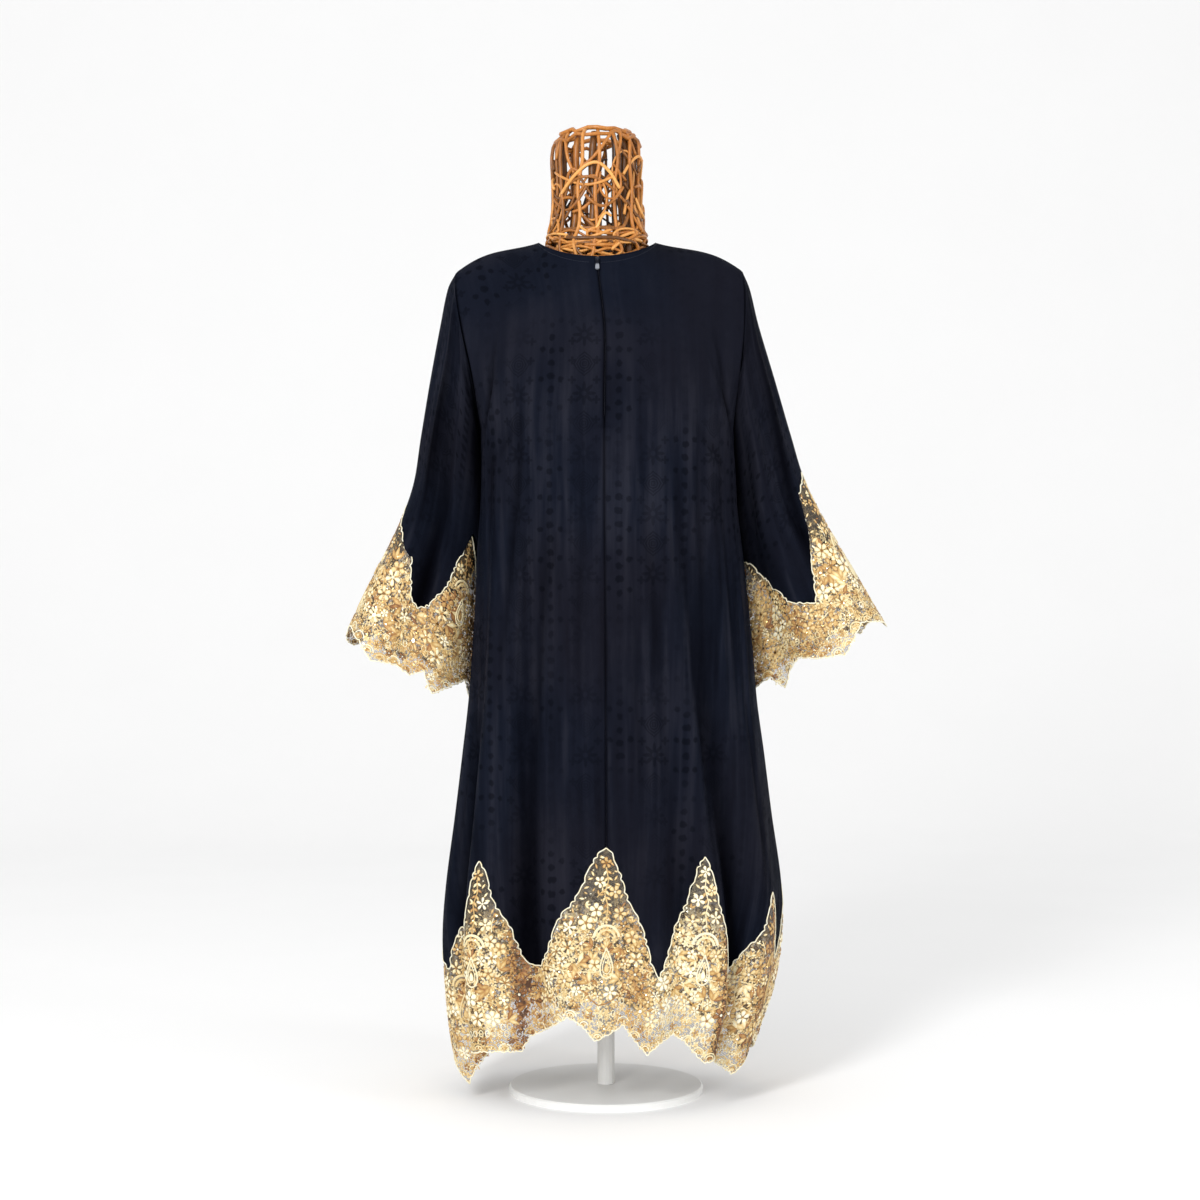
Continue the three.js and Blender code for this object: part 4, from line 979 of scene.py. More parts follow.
def backdrop():
    """A pale floor that curves up into a wall far behind."""
    front, bend, radius, top, half_width = -9, 3, 1.5, 9, 9
    curve = np.linspace(0.1, math.pi / 2, 12)
    profile = [(front, 0), (bend, 0)]
    profile += [(bend + radius * math.sin(a), radius - radius * math.cos(a)) for a in curve]
    profile.append((bend + radius, top))
    points = [(x / MM, y / MM, z / MM) for x in (-half_width, half_width) for y, z in profile]
    count = len(profile)
    k = np.arange(count - 1)
    faces = [np.stack([k, k + 1, k + 1 + count, k + count], axis=-1)]
    g = Graph("studio_white", Roughness=0.9, Specular_IOR_Level=0.1)
    g.finish(Base_Color=g.blend(g.noise(3), *((white,) * 3 for white in STUDIO_WHITES)))
    new_mesh("studio_floor", points, faces, [g.material])


def lamp(name, place, target, size, watts):
    light = bpy.data.lights.new(name, "AREA")
    light.shape, light.size, light.size_y, light.energy = "RECTANGLE", *size, watts
    made = linked(name, light)
    made.location = place
    made.rotation_euler = (Vector(target) - Vector(place)).to_track_quat("-Z", "Y").to_euler()


camera = linked("camera", bpy.data.cameras.new("camera"))
camera.data.lens = camera.data.sensor_width / 2 * DISTANCE / HALF_VIEW
camera.location = (CAMERA_X, -DISTANCE, CAMERA_Z)
camera.rotation_euler = (math.pi / 2, 0, 0)
bpy.context.scene.camera = camera
bpy.context.scene.view_settings.view_transform = "Standard"
backdrop()
lamp("key", (-1.5, -3.4, 2.5), (0, 0, 0.75), (0.7, 1.7), 92)
lamp("fill", (2.9, -1.6, 1.4), (0, 0, 0.7), (0.5, 2.0), 20)
world = bpy.data.worlds.new("studio")
world.use_nodes = True
for key, value in (("Color", (1, 1, 1, 1)), ("Strength", 0.86)):
    world.node_tree.nodes["Background"].inputs[key].default_value = value
bpy.context.scene.world = world

# ---- The cloth -----------------------------------------------------------------------------------

BODY_STEP, SLEEVE_STEP = 1.1, 4.5  # degrees between columns of points
SEAM_GAP = 0.008  # degrees
TOP_GAP, CUFF_GAP = 0.0012, 0.0008  # shares of the shoulder's and the sleeve's length
SHOULDER_ROWS, SKIRT_ROWS, SLEEVE_ROWS = 64, 130, 76
SHADE_MM = 9  # depth of a crease whose painted shade is as dark as the painted crease shade becomes
SEAM_DIP = 1.4  # how deep the cloth dips into a seam
ZIP_LAP = 1.6  # how much the wearer's right front stands over the left one along the zip
ARM_DIP = 2.2  # how deep the cloth rolls in at the armhole
ARMHOLE_TOP = 1178
ZIGZAG_CORNERS = [a + k for a in ZIGZAG["at"] for k in (0, 360)]


def zigzag_at(angle):
    return stepped(ZIGZAG, "z", turn(0, angle))


def body_panel(name, start, end, back, seams):
    """A panel of the body. Seams are the turns where it is sewn on, and dips a little."""
    corners = [*ZIGZAG_CORNERS, -NECK_COLUMNS, NECK_COLUMNS, 180 - NECK_COLUMNS, 180 + NECK_COLUMNS]
    near = [s + d for s in seams for d in (-1.2, -0.6, 0.6, 1.2)]
    columns = columns_between(start + SEAM_GAP, end - SEAM_GAP, BODY_STEP, corners)
    columns = np.unique(np.concatenate([columns, [c for c in near if start < c < end]]))
    around = columns[:, None]
    points = shoulder(around, np.linspace(TOP_GAP, 1, SHOULDER_ROWS + 1), back)
    low = zigzag_at(around) + EDGE_GAP
    z = mix(UNDERARM, low, np.linspace(0, 1, SKIRT_ROWS + 1)[1:])
    points = np.concatenate([points, skirt(around, z)], axis=1)
    heights = points[..., 2]
    push = creased(BODY_CREASES, "z", SKIRT_MM, 1.0, around, heights)
    push *= clamp01((1150 - heights) / 120)
    # Painted shade: the cloth is painted darker in its creases and folds, along the seams, in a
    # line down the zip and round the armhole.
    painted_shade = clamp01(clamp01(-push / SHADE_MM) + fold_hollow(around, heights) * 0.9)
    for seam in seams:
        from_seam = turn(seam, around)
        push -= SEAM_DIP * bell(from_seam, 0.7)
        painted_shade = np.maximum(painted_shade, 0.6 * bell(from_seam, 0.4))
    if 0 in seams:
        zipped = clamp01((heights - 930) / 40)
        push += (ZIP_LAP if start < 0 else 0) * zipped * bell(turn(0, around), 1.8)
        painted_shade = np.maximum(painted_shade, zipped * bell(turn(0, around), 0.5))
    side = np.minimum(*(np.abs(turn(seam, around)) for seam in (90, -90)))
    on_armhole = clamp01((heights - UNDERARM) / 60) * clamp01((ARMHOLE_TOP - heights) / 50)
    push -= ARM_DIP * on_armhole * bell(side, 2.5)
    painted_shade = np.maximum(painted_shade, 0.6 * on_armhole * bell(side, 1.6))
    points += normals_of(points) * push[..., None]
    middle = int(np.argmin(np.abs(turn(180 if back else 0, columns))))
    flat = points * stack(1, clamp01((1150 - heights) / 200), 0)
    uv = np.stack([running(flat, 0, middle), -running(points, 1, SHOULDER_ROWS)], axis=-1)
    return cloth_piece(name, points, uv, JACQUARD, CLOTH, {"painted_shade": painted_shade})


def cuff_line(side, around):
    return stepped(CUFF_ZIGZAG[side], "f", np.asarray(around) % 360)


def sleeve_panel(name, side):
    """A sleeve's cloth, from the seam at its inner edge round to that seam again."""
    corners = [a + k for a in CUFF_ZIGZAG[side]["at"] for k in (0, 360) if 180 < a + k < 540]
    columns = columns_between(180, 540, SLEEVE_STEP, corners)
    around = columns[:, None]
    f = mix(0, cuff_line(side, around) - CUFF_GAP, np.linspace(0, 1, SLEEVE_ROWS + 1))
    points = sleeve(side, around, f)
    push = creased(SLEEVE_CREASES[side], "f", SLEEVE_MM, SLEEVE_LENGTH, around, f)
    push *= clamp01(f / 0.08)
    # Painted shade: the sleeve is painted darker in its creases and folds, and on its inner side
    # that faces the body.
    painted_shade = clamp01(-(push + 0.8 * sleeve_fold(side, around, f)) / SHADE_MM)
    inner = clamp01((45 - np.abs(turn(140, around % 360))) / 30)
    painted_shade = np.maximum(painted_shade, inner * 0.6)
    near_seam = clamp01((ARMHOLE_TOP - points[..., 2]) / 50) * bell(f * SLEEVE_LENGTH, 7)
    push = (push - ARM_DIP * near_seam) * clamp01(np.abs(turn(180, around)) / 30)
    points += normals_of(points) * (push * (-1 if side == "minusX" else 1))[..., None]
    flat = np.broadcast_to(turn(90, around % 360) * SLEEVE_MM, f.shape)
    uv = np.stack([flat, -f * SLEEVE_LENGTH], axis=-1)
    return cloth_piece(name, points, uv, JACQUARD, CLOTH, {"painted_shade": painted_shade})


panels = {
    "front_right": body_panel("front_right_cloth", -90, 0, False, [0, -90]),
    "front_left": body_panel("front_left_cloth", 0, 90, False, [0, 90]),
    "back": body_panel("back_cloth", 90, 270, True, [90, 270]),
    "sleeve_right": sleeve_panel("sleeve_right_cloth", "minusX"),
    "sleeve_left": sleeve_panel("sleeve_left_cloth", "plusX"),
}
for node, panel in panels.items():
    dressed(panel, "navy_jacquard", node)

# ---- The lace ------------------------------------------------------------------------------------


HEM_MIDDLE, CUFF_MIDDLE = 160, 0.92  # height and share where the laces' lengths are measured
HEM_PEAKS = [-141, -103, -67, -45.5, 0, 29, 66, 103, 142, 180]
CUFF_PEAKS = {"minusX": [2, 122, 216, 300], "plusX": [18, 150, 222, 300]}
NET_LIFT = 0.25  # how far the embroidery stands off the net
SEQUIN_SIDES, SEQUIN_LIFT = 6, 0.9
NORMAL_STEP = 0.7
CORD_STEP = 1.6


class Lace:
    """A lace border laid flat: u runs round it and v up it, both in millimetres."""

    def __init__(self, at, place, top, low, peaks, outwards=1):
        self.at, self.run = at, along_line(place(at, None))
        self.length = self.run[-1]
        self.place, self.top_at, self.low_at, self.outwards = place, top, low, outwards
        self.peaks = [float(np.interp(peak, at, self.run)) for peak in peaks]

    def at_of(self, u):
        """The turn at a distance round, which may pass the seam."""
        laps = np.floor(np.asarray(u) / self.length)
        return np.interp(u - laps * self.length, self.run, self.at) + laps * 360

    def u_of(self, at):
        laps = np.floor((at - self.at[0]) / 360)
        return np.interp(at - 360 * laps, self.at, self.run) + laps * self.length

    def top(self, u):
        return self.top_at(self.at_of(u))

    def low(self, u):
        return self.low_at(self.at_of(u))

    def surface(self, u, v):
        return self.place(self.at_of(u), v)

    def density(self, u, v):
        """How closely the lace is worked: fully below, little near the zigzag's points."""
        tips = self.top(np.array(self.peaks))
        return clamp01((np.interp(u, self.peaks, tips, period=self.length) - 70 - v) / 35)

    def lifted(self, points):
        """Points (u, v, height above the net) in space."""
        u, v, height = points.T
        across, up = (
            self.surface(u + du, v + dv) - self.surface(u - du, v - dv)
            for du, dv in ((NORMAL_STEP, 0), (0, NORMAL_STEP))
        )
        return self.surface(u, v) + unit(np.cross(across, up)) * (height * self.outwards)[:, None]


def hem_lace():
    def place(at, v):
        return skirt(at, HEM_MIDDLE if v is None else v)

    def low(at):
        return straight(HEM, "at", "z", turn(0, at))

    return Lace(np.arange(-180, 180.1, 0.5), place, zigzag_at, low, HEM_PEAKS)


def cuff_lace(side):
    def place(at, v):
        return sleeve(side, at, CUFF_MIDDLE if v is None else -v / SLEEVE_LENGTH)

    def top(at):
        return -SLEEVE_LENGTH * cuff_line(side, at)

    def low(at):
        return -SLEEVE_LENGTH * straight(CUFF_EDGE[side], "at", "f", np.asarray(at) % 360)

    outwards = 1 if side == "minusX" else -1
    return Lace(np.arange(0, 360.1, 1.0), place, top, low, CUFF_PEAKS[side], outwards)


def unit_shape(profile, ringed):
    """A small domed leaf along +x with a rim and a crown, and a ring between them if asked."""
    k = np.arange(8)
    n = (k + 1) % 8
    c, s = cos_sin(k * 45)
    x, y = (1 - c) / 2, s / 2 * profile((1 - c) / 2)
    rim, crown = stack(x, y, 0.12), [[0.5, 0, 1.0]]
    if not ringed:
        return np.concatenate([rim, crown]), [np.stack([k, n, k * 0 + 8], axis=1)]
    ring = stack(0.5 + (x - 0.5) * 0.6, y * 0.58, 0.85)
    faces = [np.stack([k, n, n + 8, k + 8], axis=1), np.stack([k + 8, n + 8, k * 0 + 16], axis=1)]
    return np.concatenate([rim, ring, crown]), faces


PETAL = unit_shape(lambda x: 0.5 + 0.7 * x, True)
LEAF = unit_shape(lambda x: np.sin(np.pi * np.clip(x, 0.02, 0.98)) ** 0.35, False)


def onward(u, v, heading, distance):
    return u + distance * math.cos(heading), v + distance * math.sin(heading)


def oval_line(u, v, width, height, turns):
    return np.stack([u + width * np.cos(turns), v + height * np.sin(turns)], axis=1)


class Needle:
    """Embroiders motifs on a lace, and remembers which places are taken."""

    CELL = 14  # the places are kept by cells of this size, wider than any two motifs' reach

    def __init__(self, lace, work, warm):
        self.lace, self.work, self.warm, self.cells = lace, work, warm, {}

    def tone(self, u, v, base):
        """Thread colour: pale or ochre at random, with painted shade that makes it darker inside
        the folds, and painted highlights that make it paler.
        """
        return float(np.clip(base - self.warm(u, v) + rng.uniform(-0.3, 0.24), 0.05, 1.0))

    def shape(self, form, u, v, heading, length, width, lift, tone):
        points, faces = form
        x, y, h = points.T * [[length], [width], [1]]
        c, s = math.cos(heading), math.sin(heading)
        placed = stack(u + x * c - y * s, v + x * s + y * c, h * lift + NET_LIFT)
        self.work(u, v).add(placed, faces, tone - 0.3 * (h < 0.5), x)

    def ribbon(self, line, width, lift, tone, closed=False):
        """A raised band along a line of (u, v) points."""
        line = np.asarray(line, float)
        side = ahead_of(line, closed)[:, ::-1] * (-width / 2, width / 2)
        height = np.full((len(line), 1), NET_LIFT)
        rows = [[line - side, height], [line, height + lift], [line + side, height]]
        points = np.stack([np.hstack(row) for row in rows], axis=1).reshape(-1, 3)
        thread = np.repeat(along_line(line), 3)
        faces = [grid_faces(len(line), 3, closed)]
        self.work(*line.mean(axis=0)).add(points, faces, tone, thread)

    def sequin(self, u, v, radius, tone):
        turns = np.arange(SEQUIN_SIDES) * 2 * np.pi / SEQUIN_SIDES + rng.uniform(0, 1)
        lean = rng.normal(0, 0.22, 2)
        x, y = radius * np.cos(turns), radius * np.sin(turns)
        points = stack(u + x, v + y, SEQUIN_LIFT + lean[0] * x + lean[1] * y)
        self.work(u, v).add(points, [np.arange(SEQUIN_SIDES)[None]], tone, kind=1)

    def flower(self, u, v, radius, base=0.78, petals=5):
        start = rng.uniform(0, 2 * np.pi)
        width = radius * rng.uniform(0.5, 0.85) * (1 if petals < 6 else 0.8)
        tone = self.tone(u, v, base)
        for heading in start + 2 * np.pi * np.arange(petals) / petals:
            foot = onward(u, v, heading, radius * 0.16)
            self.shape(PETAL, *foot, heading, radius * 0.9, width, 1.1, tone)
        self.sequin(u, v, radius * 0.2, rng.choice([0.3, 0.95]))
        self.take(u, v, radius)

    def leaf(self, u, v, heading, length, width, base):
        if self.inside(*onward(u, v, heading, length), 0.6):
            self.shape(LEAF, u, v, heading, length, width, 0.8, self.tone(u, v, base))

    def vine(self, places, size, base):
        """A stem through places (u, v) with a leaf on each side at every second point."""
        places = np.asarray(places, float)
        share, fine = (np.linspace(0, 1, n) for n in (len(places), 4 * len(places) - 3))
        line = np.stack([np.interp(fine, share, places[:, k]) for k in (0, 1)], axis=1)
        self.ribbon(line, 1.6, 0.7, self.tone(*line[len(line) // 2], base))
        for k in range(1, len(line) - 1, 2):
            heading = math.atan2(*(line[k + 1] - line[k - 1])[::-1])
            for side in (-1, 1):
                self.leaf(*line[k], heading + side * 0.8, size, size * 0.45, base)
            self.take(*line[k], size * 0.5)

    def spray(self, u, v, length, heading, bend, base=0.8, pairs=2):
        """A curved stem with pairs of leaves and one at its end."""
        steps = np.linspace(0, 1, 2 * pairs + 2)
        turned = heading + rng.normal(0, 0.15) + bend * steps
        line = [u, v] + np.cumsum(oval_line(0, 0, 1, 1, turned) * length / len(steps), axis=0)
        self.ribbon(line, 1.3, 0.6, self.tone(u, v, base))
        for k in range(pairs):
            size = length * (0.34 - 0.06 * k)
            for way in (-1, 1):
                at = 2 * k + 1
                self.leaf(*line[at], turned[at] + way * 0.8, size, size * 0.42, base)
        self.leaf(*line[-1], turned[-1], length * 0.34, length * 0.15, base)
        for place in line[::2]:
            self.take(*place, length * 0.2)

    def arch(self, u, v, radius, base=0.66):
        """Two bands over each other, with a fringe of leaves."""
        turns = np.linspace(0.12, np.pi - 0.12, 13)
        for band, brighter in ((radius, 0.14), (radius - 6, 0.04)):
            tone = base + brighter - self.warm(u, v)
            self.ribbon(oval_line(u, v, band, band, turns), 3.8, 1.4, tone)
        for turned in np.linspace(0.25, np.pi - 0.25, 7):
            self.leaf(*onward(u, v, turned, radius + 2), turned, 5.5, 3.2, base)
        for turned in np.linspace(0, np.pi, 6):
            self.take(*onward(u, v, turned, radius), 5)

    def drop(self, u, v, length, base=0.6):
        """A teardrop hanging from (u, v), with an inner drop and crest leaves."""
        if v - length <= self.lace.low(u) + 14:
            return
        t = np.linspace(0, 2 * np.pi, 24, endpoint=False)
        for size, width in ((1.0, 2.2), (0.62, 1.5)):
            x = 0.3 * length * size * np.sin(t) * np.sin(t / 2) ** 1.4
            y = -length * (0.5 - 0.5 * size * np.cos(t)) - (1 - size) * length * 0.1
            tone = base + 0.24 - self.warm(u, v)
            self.ribbon(np.stack([u + x, v + y], axis=1), width, 1.3, tone, closed=True)
        size = length * 0.34, length * 0.2, 1.0
        self.shape(PETAL, u, v - length * 0.5, -np.pi / 2, *size, self.tone(u, v, base + 0.1))
        for way in (-1, 1):
            for k, turned in enumerate((0.25, 0.7, 1.15)):
                heading = np.pi / 2 + way * turned
                self.leaf(u, v - 3 * k, heading, length * 0.3, length * 0.11, base)
        for share in (0, 0.35, 0.7, 1.0):
            self.take(u, v - share * length, length * 0.2)

    def fan(self, u, v, radius, base=0.6):
        """A scallop of the lower border: a half ring over radiating petals."""
        turns = np.linspace(np.pi * 0.98, np.pi * 0.02, 11)
        for band in (radius, radius - 3.4):
            tone = self.tone(u, v, base + 0.14)
            self.ribbon(oval_line(u, v, band, band, turns), 1.7, 0.8, tone)
        for turned in np.linspace(0.35, np.pi - 0.35, 5):
            tone = self.tone(u, v, base + 0.08)
            self.shape(PETAL, u, v, turned, radius * 0.56, radius * 0.28, 0.9, tone)

    def oval(self, u, v, width, height, base):
        line = oval_line(u, v, width / 2, height / 2, np.arange(8) * np.pi / 4)
        self.ribbon(line, 1.3, 0.5, self.tone(u, v, base), closed=True)
        self.take(u, v, width * 0.45)

    def take(self, u, v, radius):
        u %= self.lace.length
        key = (int(u // self.CELL), int(v // self.CELL))
        self.cells.setdefault(key, []).append((u, v, radius))

    def free(self, u, v, radius):
        length = self.lace.length
        u %= length
        i, j, count = int(u // self.CELL), int(v // self.CELL), int(length // self.CELL) + 1
        for a, b in ((a, b) for a in (i - 1, i, i + 1) for b in (j - 1, j, j + 1)):
            for x, y, r in self.cells.get((a % count, b), ()):
                gap = min(abs(x - u), length - abs(x - u))
                if gap * gap + (y - v) ** 2 < (r + radius) ** 2:
                    return False
        return True

    def inside(self, u, v, margin):
        low, top = self.lace.low, self.lace.top
        places = (u - margin, u, u + margin)
        return all(low(p) + margin * 0.6 < v < top(p) - margin * 0.8 for p in places)

    def peak(self, u, k):
        """The chart of one point of the zigzag, from its tip downwards, at a scale of k."""
        v, flip = float(self.lace.top(u)), rng.choice([-1, 1])
        stem = (0, 26), (-3, 44), (2, 62), (-2, 80), (0, 98)
        self.vine([(u + du * flip * k, v - down * k) for du, down in stem], 8.5 * k, 0.74)
        chart = (
            (self.flower, 0, 20, 8.0),
            (self.flower, 9 * flip, 46, 8.2),
            (self.flower, -12 * flip, 60, 9.0),
            (self.spray, 15 * flip, 70, 22, 1.2, 0.5 * flip),
            (self.flower, 14 * flip, 84, 9.6),
            (self.flower, -19 * flip, 90, 9.6),
            (self.spray, -30 * flip, 104, 24, 1.9, 0.5 * flip),
            (self.arch, 0, 124, 18),
            (self.flower, 0, 114, 7.0),
            (self.drop, 0, 136, 42),
        )
        for motif, du, down, size, *rest in chart:
            place = (u + du * k, v - down * k)
            if self.inside(*place, size * 0.5):
                motif(*place, size, *rest)

    def garland(self, height, wave, spacing):
        """A waving stem round the lace with a leaf on each side, its waves hung with flowers."""
        lace = self.lace
        waves = round(lace.length / wave)
        u = np.linspace(0, lace.length, waves * 8 + 1)
        sway = np.sin(u / lace.length * waves * 2 * np.pi)
        v = lace.low(u) * 0.5 + np.mean(lace.low(u)) * 0.5 + height + 7 * sway
        for k in range(0, len(u) - 2, 2):
            line = np.stack([u[k : k + 3], v[k : k + 3]], axis=1)
            middle = line[1]
            if not self.inside(*middle, 4):
                continue
            self.ribbon(line, 1.8, 0.6, self.tone(*middle, 0.56))
            way = 1 if k % 4 else -1
            heading = math.atan2(*(line[2] - line[0])[::-1])
            for side in (-way, way):
                self.leaf(*middle, heading + side * 0.9, spacing, spacing * 0.42, 0.8)
            self.take(*middle, spacing * 0.45)
            place = (middle[0], middle[1] - 12 * np.sign(sway[k + 1] + 0.01))
            if k % 8 == 4 and self.inside(*place, 5) and self.free(*place, 5):
                self.flower(*place, 7.8, 0.84)

    def along_top(self, spacing):
        """Small leaves that follow the zigzag's cord on its inner side."""
        u, top = 0.0, self.lace.top
        while u < self.lace.length:
            slope = float(top(u + 1) - top(u - 1)) / 2
            inward = math.atan2(-1, slope)
            place = onward(u, float(top(u)), inward, 3.4)
            if self.free(*place, 2.4) and self.inside(*place, 1.0):
                heading = inward + rng.choice([-0.6, 0.6]) + rng.normal(0, 0.2)
                self.leaf(*place, heading, 8.0, 3.2, 0.8)
                self.take(*onward(*place, heading, 3), 3.4)
            u += max(spacing / math.hypot(1, slope), 0.35)

    def border(self):
        """Fans along the lower edge, and a band of ovals above them."""
        lace = self.lace
        parts = round(lace.length / 19)
        width = lace.length / parts
        for u in np.arange(parts) * width:
            v = float(lace.low(u)) + 2.5
            if lace.top(u) - v > 24:
                self.fan(u, v, width * 0.46)
                self.flower(u + width / 2, v + 13, 5.2, 0.6)
                for du in (0, width / 2):
                    self.take(u + du, v + 4, width * 0.3)
        for row in (0, 1):
            for u in (np.arange(int(lace.length / 9)) + 0.5 * row) * 9:
                v = float(lace.low(u)) + 25 + row * 9.4
                if self.free(u, v, 2.6) and self.inside(u, v, 3):
                    self.oval(u, v, 6.0, 8.8, 0.74)

    def scattered(self, tries, margin, thickening):
        """Random places between the edges."""
        u = rng.uniform(0, self.lace.length, tries)
        share = rng.uniform(0, 1, tries) ** thickening
        return zip(u.tolist(), mix(self.lace.low(u) + margin, self.lace.top(u) - 3, share).tolist())

    def fill(self, tries, scale):
        """Flowers, then leaves, then small leaves, in whatever room is left."""
        places = list(self.scattered(tries, 3, 1))
        loose = 1.9 - self.lace.density(*np.array(places).T)
        for k, place in enumerate(places):
            size = scale * (9.6, 8.0, 6.2, 4.4, 3.2)[min(4, k * 6 // tries)]
            if not self.free(*place, size * 0.72 * loose[k]) or not self.inside(*place, size * 0.7):
                continue
            if size > 5 and rng.uniform() < 0.7:
                petals = int(rng.choice([5, 5, 6]))
                self.flower(*place, size * rng.uniform(0.9, 1.05), 0.78, petals)
            else:
                heading = rng.uniform(0, 2 * np.pi)
                for turned in (-0.8, 0, 0.8) if size > 4.5 else (0.0,):
                    self.leaf(*place, heading + turned, size * 1.6, size * 0.66, 0.7)
                self.take(*onward(*place, heading, size * 0.5), size * 0.66)

    def sprinkle(self, tries):
        """Sequins over everything, thicker below."""
        for place in self.scattered(tries, 2, 1.5):
            if self.inside(*place, 1.5):
                self.sequin(*place, rng.uniform(0.8, 1.3), self.tone(*place, 0.78))


def edge_cord(lace, line, offset, wave, radius, tips, gathered):
    """A cord along an edge of the lace, bowed into uneven bumps that fade at the tips."""
    run = along_line(line)
    even = np.linspace(0, run[-1], int(run[-1] / CORD_STEP))
    path = np.stack([np.interp(even, run, line[:, k]) for k in (0, 1)], axis=1)
    size, length = wave
    phase = even / length + 0.35 * np.sin(even / length * 1.7) + 0.2 * np.sin(even / length * 4.1)
    bow = size * (np.abs(np.sin(np.pi * phase)) - 0.5)
    for tip in tips:
        away = np.abs((path[:, 0] - tip + lace.length / 2) % lace.length - lace.length / 2)
        bow *= clamp01(away / 7)
    path += ahead_of(path)[:, ::-1] * (-1, 1) * (bow + offset)[:, None]
    points, faces, thread = tube(lace.lifted(stack(*path.T, radius * 0.6)), radius)
    gathered.add(points, faces, 0.92 + 0.06 * np.sin(thread / 3), thread)


def line_of(lace, rows, column, scale, parts, steps=0):
    """The points (u, v) of an edge that a table gives, in order round the lace."""
    share = np.linspace(0, 1, parts, endpoint=False)
    at, values = (
        np.append(mix(ends[:-1, None], ends[1:, None], eased).ravel(), ends[-1])
        for ends, eased in (
            (rows["at"], share), (rows[column], share - steps * np.sin(4 * np.pi * share))
        )
    )
    return np.stack([np.interp(at, lace.at, lace.run), scale * values], axis=1)


def net_piece(name, lace, warm, start, end, step, corners, rows):
    at = columns_between(start, end, step, corners)[:, None]
    share = np.linspace(0, 1, rows + 1)
    v = mix(lace.top_at(at) - EDGE_GAP, lace.low_at(at), share)
    u = np.broadcast_to(lace.u_of(at), v.shape)
    points = lace.place(np.broadcast_to(at, v.shape), v)
    # The net's tone carries the same painted shade and highlights as the embroidery.
    values = {
        "dense": lace.density(u, v) * 0.85 + 0.12, "tone": 0.6 - np.vectorize(warm)(u, v)
    }
    return cloth_piece(name, points, np.stack([u, v], axis=-1), LACE_NET, 0, values)


# Painted shade and reflection on the hem's gold: warmer and darker on the flanks of its folds and
# on the wearer's left; where the amount is negative, a painted highlight makes it paler.
HEM_PAINTED_SHADING = table(
    "at width amount",
    (-60, 3, 0.14), (-31, 2.6, 0.34), (8, 4, 0.12), (23, 7, -0.2), (38.5, 3.6, 0.56),
    (49, 4, -0.12), (62, 5, 0.3), (74, 8, 0.4), (-88, 8, 0.1),
    (116, 5, 0.2), (146, 5, 0.2), (-155, 5, 0.2), (-123, 5, 0.2),
)
# Painted shade on the cuffs' gold, round each sleeve: darker at its outer edge, at the front and on
# the side towards the body.
CUFF_PAINTED_SHADING = table("at width amount", (0, 12, 0.2), (150, 16, 0.34), (92, 12, 0.16))


def warmth(lace, rows, base, painted_shade):
    # Painted shade and highlights on the gold: each row's amount near its turn, an amount darker
    # for the whole lace, and painted shade in the skirt's folds.
    def warm(u, v):
        at = turn(0, float(lace.at_of(u)))
        near = (bell(turn(rows["at"], at), rows["width"]) * rows["amount"]).sum()
        return float(base + near + (painted_shade * fold_hollow(at, v) if painted_shade else 0))

    return warm


def embroider(needle, scales, garlands, fill, sequins):
    for u, scale in zip(needle.lace.peaks, scales):
        needle.peak(u, scale)
    needle.along_top(13)
    needle.border()
    for garland in garlands:
        needle.garland(*garland)
    needle.fill(*fill)
    needle.sprinkle(sequins)


def lace_pieces(kind, part, net, embroidery, cords, lace):
    name = f"{kind}_{{}}_{part}"
    gold = embroidery.mesh(name.format("embroidery"), [GOLD, SEQUIN], lace.lifted)
    cord = cords.mesh(name.format("cord"), [PALE_CORD])
    dressed(net, "gold_lace", f"{kind}_lace_{part}")
    for made in (gold, cord):
        dressed(made, "gold_lace")
    panels[f"{kind}_lace_{part}"] = net


def hem_border():
    lace = hem_lace()
    work, cords = ({part: Gathered() for part in ("front", "back")} for _ in range(2))

    def part_at(u):
        return "front" if abs(turn(0, float(lace.at_of(u)))) <= 90 else "back"

    warm = warmth(lace, HEM_PAINTED_SHADING, 0, 0.2)
    needle = Needle(lace, lambda u, v: work[part_at(u)], warm)
    scales = [clamp01((float(lace.top(u)) - 190) / 165) * 0.45 + 0.55 for u in lace.peaks]
    embroider(needle, scales, ((62, 74, 9), (96, 88, 8)), (24000, 1.12), 3600)
    for line, offset, wave, radius, tips in (
        (line_of(lace, ZIGZAG, "z", 1, 28, ZIGZAG_STEPS), 0.4, (3.0, 21), 0.95, lace.peaks),
        (line_of(lace, HEM, "z", 1, 8), 0.0, (-2.4, 10), 1.0, ()),
    ):
        front = np.abs(turn(0, lace.at_of(line[:, 0]))) <= 90
        for run in np.split(np.arange(len(line)), np.flatnonzero(np.diff(front)) + 1):
            key = "front" if front[run[len(run) // 2]] else "back"
            run = np.append(run, min(run[-1] + 1, len(line) - 1))
            edge_cord(lace, line[run], offset, wave, radius, tips, cords[key])
    corners = [c + k for rows in (ZIGZAG, HEM) for c in rows["at"] for k in (0, 360)]
    for part, start in (("front", -90), ("back", 90)):
        net = net_piece(f"hem_net_{part}", lace, warm, start, start + 180, 2.0, corners, 22)
        lace_pieces("hem", part, net, work[part], cords[part], lace)


